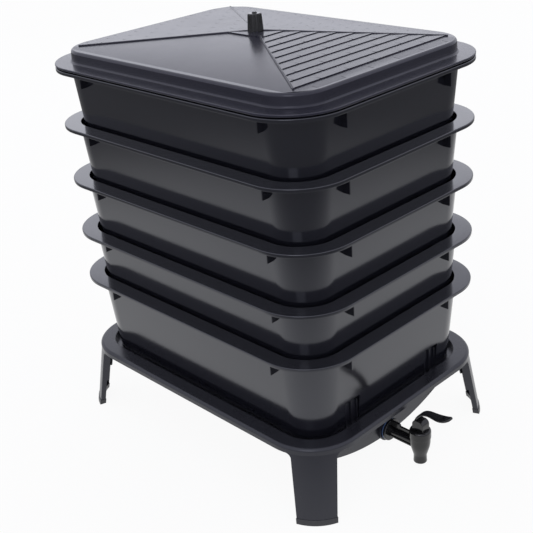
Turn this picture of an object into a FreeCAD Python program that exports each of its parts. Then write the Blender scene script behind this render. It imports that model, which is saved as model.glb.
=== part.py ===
import FreeCAD, Part
import math
import os
import re
import Sketcher
from FreeCAD import Placement, Rotation, Vector

# A stacking worm farm: a stand that collects liquid, five trays, a lid and a drain tap.
# Millimetres. Z is up and the tap faces -Y. The origin is on the floor at the middle of the whole
# outline, tap included. Pieces are drawn about the stand's own middle, which lies further back.

SIZES = {
    # From the origin back to the middle of the stand
    "stand_middle": 35.5,
    # Outline shared by the rims of the trays, the lid and the stand
    "rim_width": 427.0,
    "rim_length": 570.0,
    "rim_corner": 84.0,
    # Tray walls and rims
    "wall_inset": 23.5,
    "wall_thickness": 2.4,
    "wall_draft": 5.0,
    "edge_bevel": 3.0,
    "floor_thickness": 2.6,
    "rim_thickness": 2.8,
    "rim_lip": 5.5,
    "lip_thickness": 2.4,
    "tray_height": 100.0,
    "bottom_tray_height": 145.5,
    # Stops that carry the tray above, seen from outside as pockets under the rim
    "stop_top": 8.5,
    "stop_pocket_floor": 38.0,
    "bottom_stop_top": 16.5,
    "bottom_pocket_floor": 43.0,
    "stop_reach": 40.5,
    "front_stop_width": 31.0,
    "front_stop_place": 113.0,
    "side_stop_width": 25.0,
    "side_stop_place": 191.0,
    # Slots in the tray floors
    "slot_length": 46.0,
    "slot_width": 5.0,
    "slot_pitch_across": 64.0,
    "slot_pitch_along": 36.0,
    "slot_columns": 5,
    "slot_rows": 12,
    # Channels low in the bottom tray, and the stand's posts that stand in them
    "channel_place": 96.0,
    "channel_width": 32.0,
    "channel_top": 100.0,
    "channel_reach": 42.5,
    "post_side_gap": 2.0,
    "post_back_gap": 1.0,
    "post_height": 38.0,
    "post_thickness": 2.4,
    "post_rib_depth": 3.4,
    "post_rib_width": 2.0,
    # Stand: rim, skirt, seat for the bottom tray
    "stand_height": 122.0,
    "stand_rim_thickness": 3.0,
    "stand_bevel": 3.5,
    "skirt_height": 11.5,
    "skirt_thickness": 3.0,
    "seat_depth": 10.0,
    # Sump under the stand: a trough whose floor falls towards the tap
    "sump_wall_inset": 47.0,
    "sump_corner": 38.0,
    "sump_curve": 358.0,
    "sump_front_low": 35.0,
    "sump_back_low": 72.0,
    "sump_thickness": 2.6,
    # Legs
    "leg_start_angle": 19.0,
    "leg_sweep_angle": 48.0,
    "leg_spread": 21.0,
    "leg_taper": 10.0,
    "leg_thickness": 3.0,
    "leg_depth": 9.0,
    "leg_upper_depth": 13.0,
    "leg_step_level": 48.0,
    "leg_blend": 14.0,
    "leg_tongue": 8.0,
    "leg_tongue_gap": 0.2,
    "leg_shoulder": 12.0,
    "foot_height": 9.0,
    "foot_floor": 3.0,
    "foot_overhang": 0.9,
    # Lid
    "lid_gap": 2.0,
    "lid_rim_thickness": 3.6,
    "lid_pad_inset": 9.0,
    "lid_pad_width": 5.0,
    "lid_plug_inset": 27.2,
    "lid_plug_depth": 6.5,
    "lid_box_inset": 27.0,
    "lid_box_height": 22.5,
    "lid_box_bevel": 4.0,
    "lid_box_bevel_angle": 38.0,
    "lid_box_draft": 3.0,
    "lid_thickness": 2.4,
    "roof_width": 352.0,
    "roof_length": 506.0,
    "roof_rise": 21.0,
    "roof_top_width": 26.0,
    "slate_first": 230.0,
    "slate_pitch": 21.5,
    "slate_count": 10,
    "slate_step": 1.3,
    "ridge_width": 3.2,
    "ridge_height": 1.7,
    "ridge_end": 283.0,
    # Lid knob, its stud, washer and nut
    "knob_base_radius": 12.4,
    "knob_top_radius": 10.6,
    "knob_height": 28.0,
    "knob_flutes": 12,
    "knob_flute_radius": 2.0,
    "knob_crown_radius": 2.6,
    "knob_crown_height": 2.2,
    "stud_radius": 4.0,
    "stud_gap": 0.3,
    "stud_length": 18.0,
    "lid_washer_radius": 9.0,
    "lid_washer_thickness": 1.6,
    "lid_nut_width": 13.0,
    "lid_nut_height": 6.5,
    # Tap: the hole and boss in the sump, and the pieces clamped to it
    "tap_height": 47.5,
    "boss_face": 241.0,
    "boss_radius": 21.0,
    "boss_wall": 5.0,
    "well_radius": 18.0,
    "well_depth": 26.0,
    "tap_hole_radius": 8.3,
    "shank_radius": 8.0,
    "shank_length": 19.0,
    "outer_washer_radius": 19.6,
    "outer_washer_thickness": 2.5,
    "inner_washer_radius": 15.5,
    "inner_washer_thickness": 2.0,
    "tap_nut_width": 27.0,
    "tap_nut_height": 8.0,
    "collar_radius": 18.5,
    "collar_thickness": 5.0,
    "barrel_radius": 9.0,
    "fin_height": 20.0,
    "fin_thickness": 4.5,
    "fin_length": 20.0,
    "flange_width": 21.0,
    "flange_thickness": 3.0,
    "flange_drop": 4.0,
    "tap_bore_radius": 5.5,
    "tap_reach": 55.5,
    "nozzle_radius": 9.7,
    "nozzle_bore_radius": 6.5,
    "nozzle_drop": 32.5,
    "nozzle_length": 11.5,
    "bowl_radius": 15.0,
    "bowl_wall": 2.6,
    "bowl_top": 12.5,
    "seat_height": 7.0,
    "bonnet_radius": 17.0,
    "bonnet_height": 15.0,
    "bonnet_top_thickness": 3.0,
    "cup_radius": 8.5,
    "cup_height": 5.0,
    "stem_radius": 3.0,
    "stem_gap": 0.08,
    "spring_radius": 5.6,
    "spring_wire": 0.7,
    "pin_rise": 7.0,
    "pin_radius": 1.6,
    "pin_gap": 0.06,
    "hub_front": 8.0,
    "hub_back": 6.5,
    "hub_width": 14.0,
    "hub_slot_width": 6.6,
    "lever_width": 12.0,
    "lever_thickness": 5.2,
    "lever_reach": 58.0,
    "lever_rise": 44.0,
}

doc = FreeCAD.newDocument("worm_farm")
sheet = doc.addObject("Spreadsheet::Sheet", "sizes")
for row, (alias, value) in enumerate(SIZES.items(), 1):
    sheet.set(f"A{row}", alias)
    sheet.set(f"B{row}", str(value))
    sheet.setAlias(f"B{row}", alias)
doc.recompute()


def size(alias):
    """One value from the sheet."""
    return float(sheet.get(alias))


def linked(expression):
    """The expression with every name that has an underscore read from the sheet."""
    return re.sub(r"\b[a-z]+(?:_[a-z0-9]+)+\b", r"sizes.\g<0>", str(expression))


def place(item, x="0", y="0", z="0"):
    """Bind the position of an object to the sheet."""
    for axis, expression in (("x", x), ("y", y), ("z", z)):
        item.setExpression("Placement.Base." + axis, linked(expression))


def rounded_outline(name, width, length, corner, level="0"):
    """A rounded rectangle about the origin, drawn in a horizontal plane."""
    sketch = doc.addObject("Sketcher::SketchObject", name + "_outline")
    half_x, half_y, radius, quarter = 50.0, 60.0, 10.0, math.pi / 2
    corners = [(1, -1, 3), (1, 1, 0), (-1, 1, 1), (-1, -1, 2)]
    ends = [(-1, -1, 1, -1), (1, -1, 1, 1), (1, 1, -1, 1), (-1, 1, -1, -1)]
    for side, (start_x, start_y, end_x, end_y) in enumerate(ends):
        along_x, along_y = (radius, 0) if side % 2 == 0 else (0, radius)
        start = Vector(start_x * (half_x - along_x), start_y * (half_y - along_y), 0)
        end = Vector(end_x * (half_x - along_x), end_y * (half_y - along_y), 0)
        sketch.addGeometry(Part.LineSegment(start, end), False)
        side_x, side_y, turn = corners[side]
        centre = Vector(side_x * (half_x - radius), side_y * (half_y - radius), 0)
        circle = Part.Circle(centre, Vector(0, 0, 1), radius)
        sketch.addGeometry(Part.ArcOfCircle(circle, turn * quarter, (turn + 1) * quarter), False)
    rules = [Sketcher.Constraint("Tangent", edge, 2, (edge + 1) % 8, 1) for edge in range(8)]
    for edge, rule in ((0, "Horizontal"), (2, "Vertical"), (4, "Horizontal"), (6, "Vertical")):
        rules.append(Sketcher.Constraint(rule, edge))
    for first, second in ((1, 3), (3, 5), (5, 7)):
        rules.append(Sketcher.Constraint("Equal", first, second))
    rules.append(Sketcher.Constraint("Symmetric", 0, 1, 4, 1, -1, 1))
    sketch.addConstraint(rules)
    measures = (
        ("width", Sketcher.Constraint("DistanceX", 6, 1, 2, 1, 2 * half_x), width),
        ("length", Sketcher.Constraint("DistanceY", 0, 1, 4, 1, 2 * half_y), length),
        ("corner", Sketcher.Constraint("Radius", 1, radius), corner),
    )
    for label, rule, expression in measures:
        index = sketch.addConstraint(rule)
        sketch.renameConstraint(index, label)
        sketch.setExpression("Constraints." + label, linked(expression))
    place(sketch, z=level)
    return sketch


def slab(name, inset, level, thickness, draft="0", corner=None):
    """A rounded slab that follows the rim's outline, an inset inside it, from a level down."""
    outline = rounded_outline(
        name,
        f"rim_width - 2 * ({inset})",
        f"rim_length - 2 * ({inset})",
        corner or f"rim_corner - ({inset})",
        level,
    )
    solid = doc.addObject("Part::Extrusion", name)
    solid.Base = outline
    solid.DirMode = "Normal"
    solid.Solid = True
    solid.setExpression("LengthFwd", "0")
    solid.setExpression("LengthRev", linked(thickness))
    solid.setExpression("TaperAngleRev", linked(draft))
    return solid


def block(name, width, length, height, x, y, bottom):
    """A box by its three sizes, the middle of its base and its lowest level."""
    box = doc.addObject("Part::Box", name)
    for side, expression in (("Length", width), ("Width", length), ("Height", height)):
        box.setExpression(side, linked(expression))
    place(box, f"({x}) - ({width}) / 2", f"({y}) - ({length}) / 2", bottom)
    return box


def rod(name, radius, length, x="0", y="0", z="0", along="up"):
    """A cylinder from a point upwards, towards -Y (out) or towards +Y (in), or along +X (across)."""
    turns = {
        "up": Rotation(),
        "out": Rotation(Vector(1, 0, 0), 90),
        "in": Rotation(Vector(1, 0, 0), -90),
        "across": Rotation(Vector(0, 1, 0), 90),
    }
    cylinder = doc.addObject("Part::Cylinder", name)
    cylinder.setExpression("Radius", linked(radius))
    cylinder.setExpression("Height", linked(length))
    cylinder.Placement = Placement(Vector(), turns[along])
    place(cylinder, x, y, z)
    return cylinder


def cone(name, low_radius, top_radius, height, x="0", y="0", z="0"):
    """A cone or taper standing on a point."""
    taper = doc.addObject("Part::Cone", name)
    taper.setExpression("Radius1", linked(low_radius))
    taper.setExpression("Radius2", linked(top_radius))
    taper.setExpression("Height", linked(height))
    place(taper, x, y, z)
    return taper


def hexagon(name, width, height, x="0", y="0", z="0", along="up"):
    """A hexagonal bar by its width across flats."""
    prism = doc.addObject("Part::Prism", name)
    prism.Polygon = 6
    prism.setExpression("Circumradius", linked(f"({width}) / 2 / cos(30)"))
    prism.setExpression("Height", linked(height))
    if along == "in":
        prism.Placement = Placement(Vector(), Rotation(Vector(1, 0, 0), -90))
    place(prism, x, y, z)
    return prism


def joined(name, *pieces):
    fusion = doc.addObject("Part::MultiFuse", name)
    fusion.Shapes = list(pieces)
    fusion.Refine = True
    return fusion


def gathered(name, pieces):
    """Tools kept side by side, for one cut."""
    group = doc.addObject("Part::Compound", name)
    group.Links = list(pieces)
    return group


def without(name, base, tool):
    remainder = doc.addObject("Part::Cut", name)
    remainder.Base = base
    remainder.Tool = tool
    remainder.Refine = True
    return remainder


def shared(name, first, second):
    overlap = doc.addObject("Part::MultiCommon", name)
    overlap.Shapes = [first, second]
    overlap.Refine = True
    return overlap


def formed(name, shape):
    """A shape that no primitive gives, worked out from the sheet's values."""
    feature = doc.addObject("Part::Feature", name)
    feature.Shape = shape
    return feature


def mirrored(name, source, normal):
    """The mirror image of a piece, across a plane through the stand's middle."""
    twin = doc.addObject("Part::Mirroring", name)
    twin.Source = source
    twin.Normal = normal
    twin.setExpression("Base.y", linked("stand_middle"))
    return twin


PARTS = []


def part(item, label, level="0"):
    """Give a finished piece its own name, and stand it at a level over the stand's middle."""
    item.Label = label
    place(item, y="stand_middle", z=level)
    PARTS.append(item)
    return item


def part_in_place(item, label):
    """Give a piece that is already where it belongs its own name."""
    item.Label = label
    PARTS.append(item)
    return item


# Trays, each drawn with its rim's top at zero


def side_blocks(name, width, side_place, reach_from, reach_to, bottom, height, faces="front"):
    """Four boxes against two opposite walls, placed by distances in from the rim's outline."""
    blocks = []
    depth = f"({reach_to}) - ({reach_from})"
    middle = f"(({reach_to}) + ({reach_from})) / 2"
    for end in (-1, 1):
        for side in (-1, 1):
            label = f"{name}_{faces}_{len(blocks)}"
            if faces == "front":
                y = f"{end} * (rim_length / 2 - {middle})"
                blocks.append(block(label, width, depth, height, f"{side} * ({side_place})", y, bottom))
            else:
                x = f"{end} * (rim_width / 2 - {middle})"
                blocks.append(block(label, depth, width, height, x, f"{side} * ({side_place})", bottom))
    return blocks


def floor_slots():
    """The slots through a tray's floor, deep enough for a tray of either height."""
    slots = []
    columns = int(size("slot_columns"))
    rows = int(size("slot_rows"))
    for column in range(columns):
        for row in range(rows):
            x = f"{column - (columns - 1) / 2} * slot_pitch_across"
            y = f"{row - (rows - 1) / 2} * slot_pitch_along"
            deep = "bottom_tray_height - tray_height + 3 * floor_thickness"
            low = "-bottom_tray_height - floor_thickness"
            slots.append(block(f"slot_{column}_{row}", "slot_length", "slot_width", deep, x, y, low))
    return gathered("floor_slots", slots)


def tray(number, height, stop_top, pocket_floor, level, slots, channelled=False):
    name = f"tray_{number}"
    upper_wall = slab(name + "_wall", "wall_inset", "0", f"{height} - edge_bevel", "-wall_draft")
    foot_inset = f"wall_inset + ({height} - edge_bevel) * tan(wall_draft)"
    wall_foot = slab(name + "_foot", foot_inset, f"edge_bevel - {height}", "edge_bevel", "-45")
    rim_plate = slab(name + "_rim", "0", "0", "rim_lip")
    rim_underside = slab(name + "_rim_underside", "lip_thickness", "-rim_thickness", "rim_lip")
    rim = without(name + "_rim_ring", rim_plate, rim_underside)
    outside = joined(name + "_outside", upper_wall, wall_foot, rim)
    cavity = slab(
        name + "_cavity", "wall_inset + wall_thickness", "0", f"{height} - floor_thickness", "-wall_draft"
    )
    stop_depth = f"{pocket_floor} + wall_thickness - {stop_top}"
    stop_low = f"-({pocket_floor} + wall_thickness)"
    blocks = side_blocks(
        name + "_stop", "front_stop_width", "front_stop_place", "0", "stop_reach", stop_low, stop_depth
    )
    blocks += side_blocks(
        name + "_stop", "side_stop_width", "side_stop_place", "0", "stop_reach", stop_low, stop_depth, "side"
    )
    pocket_depth = f"{pocket_floor} - wall_thickness - {stop_top}"
    pocket_low = f"-{pocket_floor}"
    pocket_mouth = "wall_inset - lip_thickness"
    pocket_back = "stop_reach - wall_thickness"
    pockets = side_blocks(
        name + "_pocket", "front_stop_width - 2 * wall_thickness", "front_stop_place",
        pocket_mouth, pocket_back, pocket_low, pocket_depth,
    )
    pockets += side_blocks(
        name + "_pocket", "side_stop_width - 2 * wall_thickness", "side_stop_place",
        pocket_mouth, pocket_back, pocket_low, pocket_depth, "side",
    )
    if channelled:
        blocks += side_blocks(
            name + "_channel_wall", "channel_width + 2 * wall_thickness", "channel_place", "0",
            "channel_reach + wall_thickness", f"-{height}", f"{height} - channel_top + wall_thickness",
        )
        pockets += side_blocks(
            name + "_channel", "channel_width", "channel_place", "wall_inset", "channel_reach",
            f"-{height} - edge_bevel", f"{height} - channel_top + edge_bevel",
        )
    hollow = without(name + "_hollow", cavity, gathered(name + "_stops", blocks))
    shell = without(name + "_shell", outside, hollow)
    finished = without(name, shell, gathered(name + "_openings", pockets + [slots]))
    return part(finished, name, level)


SLOTS = floor_slots()
RIM_LEVELS = {1: "stand_height - seat_depth + bottom_tray_height"}
RIM_LEVELS[2] = RIM_LEVELS[1] + " - bottom_stop_top + tray_height"
for number in (3, 4, 5):
    RIM_LEVELS[number] = RIM_LEVELS[number - 1] + " - stop_top + tray_height"
tray(1, "bottom_tray_height", "bottom_stop_top", "bottom_pocket_floor", RIM_LEVELS[1], SLOTS, channelled=True)
for number in (2, 3, 4, 5):
    tray(number, "tray_height", "stop_top", "stop_pocket_floor", RIM_LEVELS[number], SLOTS)


# Stand: rim and skirt, a seat for the bottom tray, a sump that falls to the tap, four posts


def trough(name, grow):
    """A long cylinder whose lowest line falls from the back of the sump to its front."""
    front = size("boss_face")
    back = size("rim_length") / 2 - size("sump_wall_inset")
    fall = math.atan2(size("sump_back_low") - size("sump_front_low"), front + back)
    radius = size("sump_curve") - grow
    length = 3 * (front + back)
    lowest = Vector(0, -front, size("sump_front_low"))
    along = Vector(0, math.cos(fall), math.sin(fall))
    upward = Vector(0, -math.sin(fall), math.cos(fall))
    start = lowest + upward * size("sump_curve") - along * (length / 3)
    return formed(name, Part.makeCylinder(radius, length, start, along))


def stand():
    rim_side = slab("stand_rim_side", "0", "stand_height - stand_bevel", "skirt_height - stand_bevel")
    rim_edge = slab("stand_rim_edge", "stand_bevel", "stand_height", "stand_bevel", "45")
    rim = joined("stand_rim", rim_side, rim_edge)
    under_rim = slab(
        "stand_rim_underside", "skirt_thickness", "stand_height - stand_rim_thickness", "skirt_height"
    )
    skirt = without("stand_skirt", rim, under_rim)
    well_outside = slab(
        "stand_well_outside", "wall_inset", "stand_height", "seat_depth + wall_thickness", "-wall_draft"
    )
    well_inside = slab(
        "stand_well_inside", "wall_inset + wall_thickness", "stand_height", "seat_depth", "-wall_draft"
    )
    sump_top = "stand_height - seat_depth"
    sump_depth = "stand_height - seat_depth - sump_front_low + sump_thickness"
    outer_block = slab("sump_outer_block", "sump_wall_inset", sump_top, sump_depth, corner="sump_corner")
    inner_block = slab(
        "sump_inner_block", "sump_wall_inset + sump_thickness", sump_top, sump_depth,
        corner="sump_corner - sump_thickness",
    )
    outer_sump = shared("sump_outside", outer_block, trough("sump_outer_trough", 0))
    inner_sump = shared("sump_inside", inner_block, trough("sump_inner_trough", size("sump_thickness")))
    boss = rod("tap_boss", "boss_radius", "well_depth + boss_wall", y="-boss_face", z="tap_height", along="in")
    well = rod("tap_well", "well_radius", "well_depth - sump_thickness", y="boss_wall - boss_face",
               z="tap_height", along="in")
    hole = rod("tap_hole", "tap_hole_radius", "3 * boss_wall", y="-boss_face - boss_wall",
               z="tap_height", along="in")
    posts = []
    post_width = "channel_width - 2 * post_side_gap"
    post_back = "channel_reach - post_back_gap"
    seat = "stand_height - seat_depth"
    posts += side_blocks(
        "post", post_width, "channel_place", f"{post_back} - post_thickness", post_back, seat, "post_height"
    )
    for rib in (-1, 0, 1):
        shift = f"channel_place + {rib} * ({post_width} - post_rib_width) / 2"
        posts += side_blocks(
            f"post_rib_{rib + 1}", "post_rib_width", shift, f"{post_back} - post_thickness - post_rib_depth",
            f"{post_back} - post_thickness", seat, "post_height",
        )
    body = joined("stand_body", skirt, well_outside, outer_sump, boss)
    hollows = gathered("stand_hollows", [well_inside, inner_sump, well, hole])
    hollowed = without("stand_hollowed", body, hollows)
    return part(joined("stand", hollowed, *posts), "stand")


stand()


# Legs: one is drawn for the front left corner and mirrored to the other three


def corner_middle():
    """Where the corner of the stand's outline has its centre, seen from above."""
    corner = size("rim_corner")
    return Vector(corner - size("rim_width") / 2, corner - size("rim_length") / 2 + size("stand_middle"), 0)


def leaning_sector(name, inset, start, sweep, low, high):
    """A pie slice of a cone that leans out and narrows downwards, between two levels."""
    top = size("stand_height") - size("skirt_height")
    middle = math.radians(180 + size("leg_start_angle") + size("leg_sweep_angle") / 2)
    lean_angle = math.degrees(math.atan2(size("leg_spread") + size("leg_taper"), top))
    lean = Rotation(Vector(-math.sin(middle), math.cos(middle), 0), -lean_angle)
    centre = corner_middle() + Vector(0, 0, top)
    radius = size("rim_corner") - inset
    narrowing = size("leg_taper") / top
    above = top
    below = 1.5 * top
    slice_ = Part.makeCone(
        radius - narrowing * below, radius + narrowing * above, above + below,
        Vector(0, 0, -below), Vector(0, 0, 1), sweep,
    )
    slice_.rotate(Vector(), Vector(0, 0, 1), 180 + start)
    slice_.Placement = Placement(centre, lean).multiply(slice_.Placement)
    wide = 5 * radius
    layer = Part.makeBox(wide, wide, high - low, Vector(centre.x - wide / 2, centre.y - wide / 2, low))
    return formed(name, slice_.common(layer))


def leg_shoulders(name, start, sweep, top):
    """Two cylinders that hollow the leg's shoulders, so that its sides sweep out into the skirt."""
    blend = size("leg_blend")
    turn = math.degrees(blend / size("rim_corner"))
    shoulders = []
    for angle in (start - turn, start + sweep + turn):
        heading = math.radians(180 + angle)
        outward = Vector(math.cos(heading), math.sin(heading), 0)
        centre = corner_middle() + Vector(0, 0, top - blend)
        shoulders.append(Part.makeCylinder(blend, 2 * size("rim_corner"), centre, outward))
    return formed(name, shoulders[0].fuse(shoulders[1]))


def leg_and_foot():
    top = size("stand_height") - size("skirt_height")
    start = size("leg_start_angle")
    sweep = size("leg_sweep_angle")
    thick = size("leg_thickness")
    outer = size("rim_corner")
    side_turn = math.degrees(thick / outer)
    blend = size("leg_blend")
    blend_turn = math.degrees(blend / outer)
    low = size("foot_floor")
    step = size("leg_step_level")
    outside = leaning_sector("leg_outside", 0, start, sweep, low, top)
    lower_core = leaning_sector("leg_lower_core", size("leg_depth"), start - 1, sweep + 2, 0, step)
    upper_core = leaning_sector("leg_upper_core", size("leg_upper_depth"), start - 1, sweep + 2, step, top + 1)
    hollow = leaning_sector("leg_hollow", thick, start + side_turn, sweep - 2 * side_turn, 0, top + 1)
    channel = without("leg_channel", outside, gathered("leg_inside", [lower_core, upper_core, hollow]))
    flare = leaning_sector("leg_flare", 0, start - blend_turn, sweep + 2 * blend_turn, top - blend, top)
    flare_core = leaning_sector("leg_flare_core", thick, 0, 90, 0, top + 1)
    shoulder = leg_shoulders("leg_shoulder_hollows", start, sweep, top)
    flare_shell = without("leg_flare_shell", flare, gathered("leg_flare_tools", [flare_core, shoulder]))
    tongue_outer = outer - size("skirt_thickness") - size("leg_tongue_gap")
    tongue_low = corner_middle() + Vector(0, 0, top - size("leg_shoulder"))
    tongue_height = size("leg_tongue") + size("leg_shoulder")
    tongue = Part.makeCylinder(tongue_outer, tongue_height, tongue_low, Vector(0, 0, 1), sweep)
    tongue.rotate(tongue_low, Vector(0, 0, 1), 180 + start)
    tongue_shell = tongue.cut(Part.makeCylinder(tongue_outer - thick, tongue_height, tongue_low))
    leg = joined("leg_front_left", channel, flare_shell, formed("leg_tongue_shell", tongue_shell))
    overhang = size("foot_overhang")
    spread = math.degrees(overhang / outer)
    high = size("foot_height")
    pad = leaning_sector("foot_block", -overhang, start - spread, sweep + 2 * spread, 0, high)
    pad_core = leaning_sector("foot_core", size("leg_depth") + overhang, start - 5, sweep + 10, -1, high + 1)
    foot = without("foot_front_left", without("foot_ring", pad, pad_core), leg)
    return leg, foot


leg, foot = leg_and_foot()
for piece, kind in ((leg, "leg"), (foot, "foot")):
    part_in_place(piece, kind + "_front_left")
    front_right = mirrored(kind + "_front_right", piece, Vector(1, 0, 0))
    part_in_place(front_right, kind + "_front_right")
    part_in_place(mirrored(kind + "_rear_left", piece, Vector(0, 1, 0)), kind + "_rear_left")
    part_in_place(mirrored(kind + "_rear_right", front_right, Vector(0, 1, 0)), kind + "_rear_right")


# Lid, drawn with the underside of its rim at zero


def hip_roof(name, drop, grow):
    """A four-sided roof over the lid's box, lowered by a drop and wider by a margin."""
    wedge = doc.addObject("Part::Wedge", name)
    spans = {
        "Xmin": f"-roof_width / 2 - {grow}", "Xmax": f"roof_width / 2 + {grow}",
        "Zmin": f"-roof_length / 2 - {grow}", "Zmax": f"roof_length / 2 + {grow}",
        "X2min": "-roof_top_width / 2", "X2max": "roof_top_width / 2",
        "Z2min": "-roof_top_width / 2", "Z2max": "roof_top_width / 2",
        "Ymin": "0", "Ymax": "roof_rise",
    }
    for side, expression in spans.items():
        wedge.setExpression(side, linked(expression))
    wedge.Placement = Placement(Vector(), Rotation(Vector(1, 0, 0), 90))
    place(wedge, z=f"lid_box_height - ({drop})")
    return wedge


def slate_courses(name, half_run, half_span, turn):
    """One roof panel's stepped courses: a saw-tooth profile swept between the two ridges."""
    base = size("lid_box_height")
    rise = size("roof_rise")
    top = size("roof_top_width") / 2
    shrink = half_run / (size("roof_length") / 2)

    def level(distance):
        return base + rise * (half_run - distance) / (half_run - top)

    first = size("slate_first") * shrink
    pitch = size("slate_pitch") * shrink
    points = []
    for course in range(int(size("slate_count"))):
        low = first - course * pitch
        high = max(low - pitch, top)
        points.append(Vector(0, -low, level(low) - size("lid_thickness")))
        points.append(Vector(0, -low, level(low) + size("slate_step")))
        points.append(Vector(0, -high, level(high)))
        points.append(Vector(0, -high, level(high) - size("lid_thickness")))
    outline = points[:3]
    for start in range(4, len(points), 4):
        outline += points[start + 1:start + 3]
    outline += [points[-1], points[0]]
    profile = Part.Face(Part.makePolygon(outline))
    teeth = profile.extrude(Vector(2 * half_span, 0, 0))
    teeth.translate(Vector(-half_span, 0, 0))
    ridge = Part.makePolygon([
        Vector(0, 0, 0), Vector(-half_span, -half_run, 0), Vector(half_span, -half_run, 0), Vector(0, 0, 0)
    ])
    panel = Part.Face(ridge).extrude(Vector(0, 0, 3 * base))
    courses = teeth.common(panel)
    courses.rotate(Vector(), Vector(0, 0, 1), turn)
    return formed(name, courses)


def ridge_strip(name, side_x, side_y):
    """A raised strip along one hip of the roof, from the knob to a corner of the box."""
    half_x = size("roof_width") / 2
    half_y = size("roof_length") / 2
    top = size("roof_top_width") / 2
    width = size("ridge_width")
    run = math.hypot(half_x, half_y)
    drop = size("roof_rise") / (half_y - top)
    reach = size("ridge_end")
    peak = size("lid_box_height") + size("roof_rise")
    inner_level = peak + size("ridge_height")
    outer_level = peak - drop * (reach * half_y / run - top) + size("ridge_height")
    depth = size("lid_thickness") + size("ridge_height")
    profile = Part.makePolygon([
        Vector(0, -width / 2, inner_level - depth), Vector(0, -width / 2, inner_level),
        Vector(top, -width / 2, inner_level), Vector(reach, -width / 2, outer_level),
        Vector(reach, -width / 2, outer_level - depth), Vector(top, -width / 2, inner_level - depth),
        Vector(0, -width / 2, inner_level - depth),
    ])
    strip = Part.Face(profile).extrude(Vector(0, width, 0))
    strip.rotate(Vector(), Vector(0, 0, 1), math.degrees(math.atan2(side_y * half_y, side_x * half_x)))
    return formed(name, strip)


LID_LEVEL = RIM_LEVELS[5] + " + lid_gap"
PEAK = "lid_box_height + roof_rise"


def lid():
    bevel_inset = "lid_box_inset + lid_box_bevel * tan(lid_box_bevel_angle)"
    rim = slab("lid_rim", "0", "lid_rim_thickness", "lid_rim_thickness")
    box = slab("lid_box", "lid_box_inset", "lid_box_height - lid_box_bevel",
               "lid_box_height - lid_box_bevel", "lid_box_draft")
    box_top = slab("lid_box_top", bevel_inset, "lid_box_height", "lid_box_bevel", "lid_box_bevel_angle")
    roof_trim = slab("lid_roof_trim", bevel_inset, f"{PEAK} + ridge_height + slate_step", f"{PEAK}")
    roof = shared("lid_roof", hip_roof("lid_hips", "0", "0"), roof_trim)
    half_x = size("roof_width") / 2
    half_y = size("roof_length") / 2
    front = slate_courses("slates_front", half_y, half_x, 0)
    back = slate_courses("slates_back", half_y, half_x, 180)
    right = slate_courses("slates_right", half_x, half_y, 90)
    ridges = [
        ridge_strip("ridge_front_left", -1, -1), ridge_strip("ridge_front_right", 1, -1),
        ridge_strip("ridge_rear_left", -1, 1), ridge_strip("ridge_rear_right", 1, 1),
    ]
    pad_outer = slab("lid_pad_outer", "lid_pad_inset", "0", "lid_gap")
    pad_inner = slab("lid_pad_inner", "lid_pad_inset + lid_pad_width", "0", "lid_gap")
    pad = without("lid_pad", pad_outer, pad_inner)
    plug = slab("lid_plug", "lid_plug_inset", "0", "lid_gap + lid_plug_depth")
    outside = joined("lid_outside", rim, box, box_top, roof, front, back, right, *ridges, pad, plug)
    inner_inset = "lid_plug_inset + lid_thickness"
    inside_box = slab("lid_inside_box", inner_inset, "lid_box_height - lid_thickness - lid_box_bevel",
                      "lid_box_height + lid_gap + lid_plug_depth")
    inside_bevel = slab("lid_inside_bevel", f"{inner_inset} + lid_box_bevel", "lid_box_height - lid_thickness",
                        "lid_box_bevel", "45")
    inside_trim = slab("lid_inside_trim", f"{inner_inset} + lid_box_bevel", PEAK, f"{PEAK}")
    inside_roof = shared("lid_inside_roof", hip_roof("lid_inside_hips", "lid_thickness", "0"), inside_trim)
    stud_hole = rod("lid_stud_hole", "stud_radius + stud_gap", "2 * roof_rise", z="lid_box_height - roof_rise / 2")
    top_seat = rod("lid_top_seat", "knob_base_radius + stud_gap", "2 * roof_rise", z=PEAK)
    hollows = gathered("lid_hollows", [inside_box, inside_bevel, inside_roof, stud_hole, top_seat])
    return part(without("lid", outside, hollows), "lid", LID_LEVEL)


def knob():
    taper = cone("knob_taper", "knob_base_radius", "knob_top_radius", "knob_height")
    crown = cone("knob_crown", "2 * knob_crown_radius", "knob_crown_radius", "knob_crown_height", z="knob_height")
    flutes = []
    count = int(size("knob_flutes"))
    for index in range(count):
        turn = f"{360 * index / count}"
        ring = "(knob_base_radius + knob_flute_radius / 2)"
        flutes.append(rod(f"flute_{index}", "knob_flute_radius", "knob_height - knob_crown_height",
                          f"{ring} * cos({turn})", f"{ring} * sin({turn})", "knob_crown_height"))
    fluted = without("knob_fluted", joined("knob_blank", taper, crown), gathered("knob_flutes", flutes))
    stud = rod("knob_stud", "stud_radius", "stud_length + knob_crown_height", z="-stud_length")
    return part(joined("lid_knob", fluted, stud), "lid_knob", f"{LID_LEVEL} + {PEAK}")


def lid_fasteners():
    under = "-lid_thickness - lid_washer_thickness"
    washer = without(
        "lid_washer",
        rod("lid_washer_disc", "lid_washer_radius", "lid_washer_thickness", z=under),
        rod("lid_washer_hole", "stud_radius + stud_gap", "3 * lid_washer_thickness", z=f"{under} - lid_washer_thickness"),
    )
    nut_low = f"{under} - lid_nut_height"
    nut = without(
        "lid_nut",
        hexagon("lid_nut_bar", "lid_nut_width", "lid_nut_height", z=nut_low),
        rod("lid_nut_hole", "stud_radius", "3 * lid_nut_height", z=f"{nut_low} - lid_nut_height"),
    )
    part(washer, "lid_washer", f"{LID_LEVEL} + {PEAK}")
    part(nut, "lid_nut", f"{LID_LEVEL} + {PEAK}")


lid()
knob()
lid_fasteners()


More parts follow.
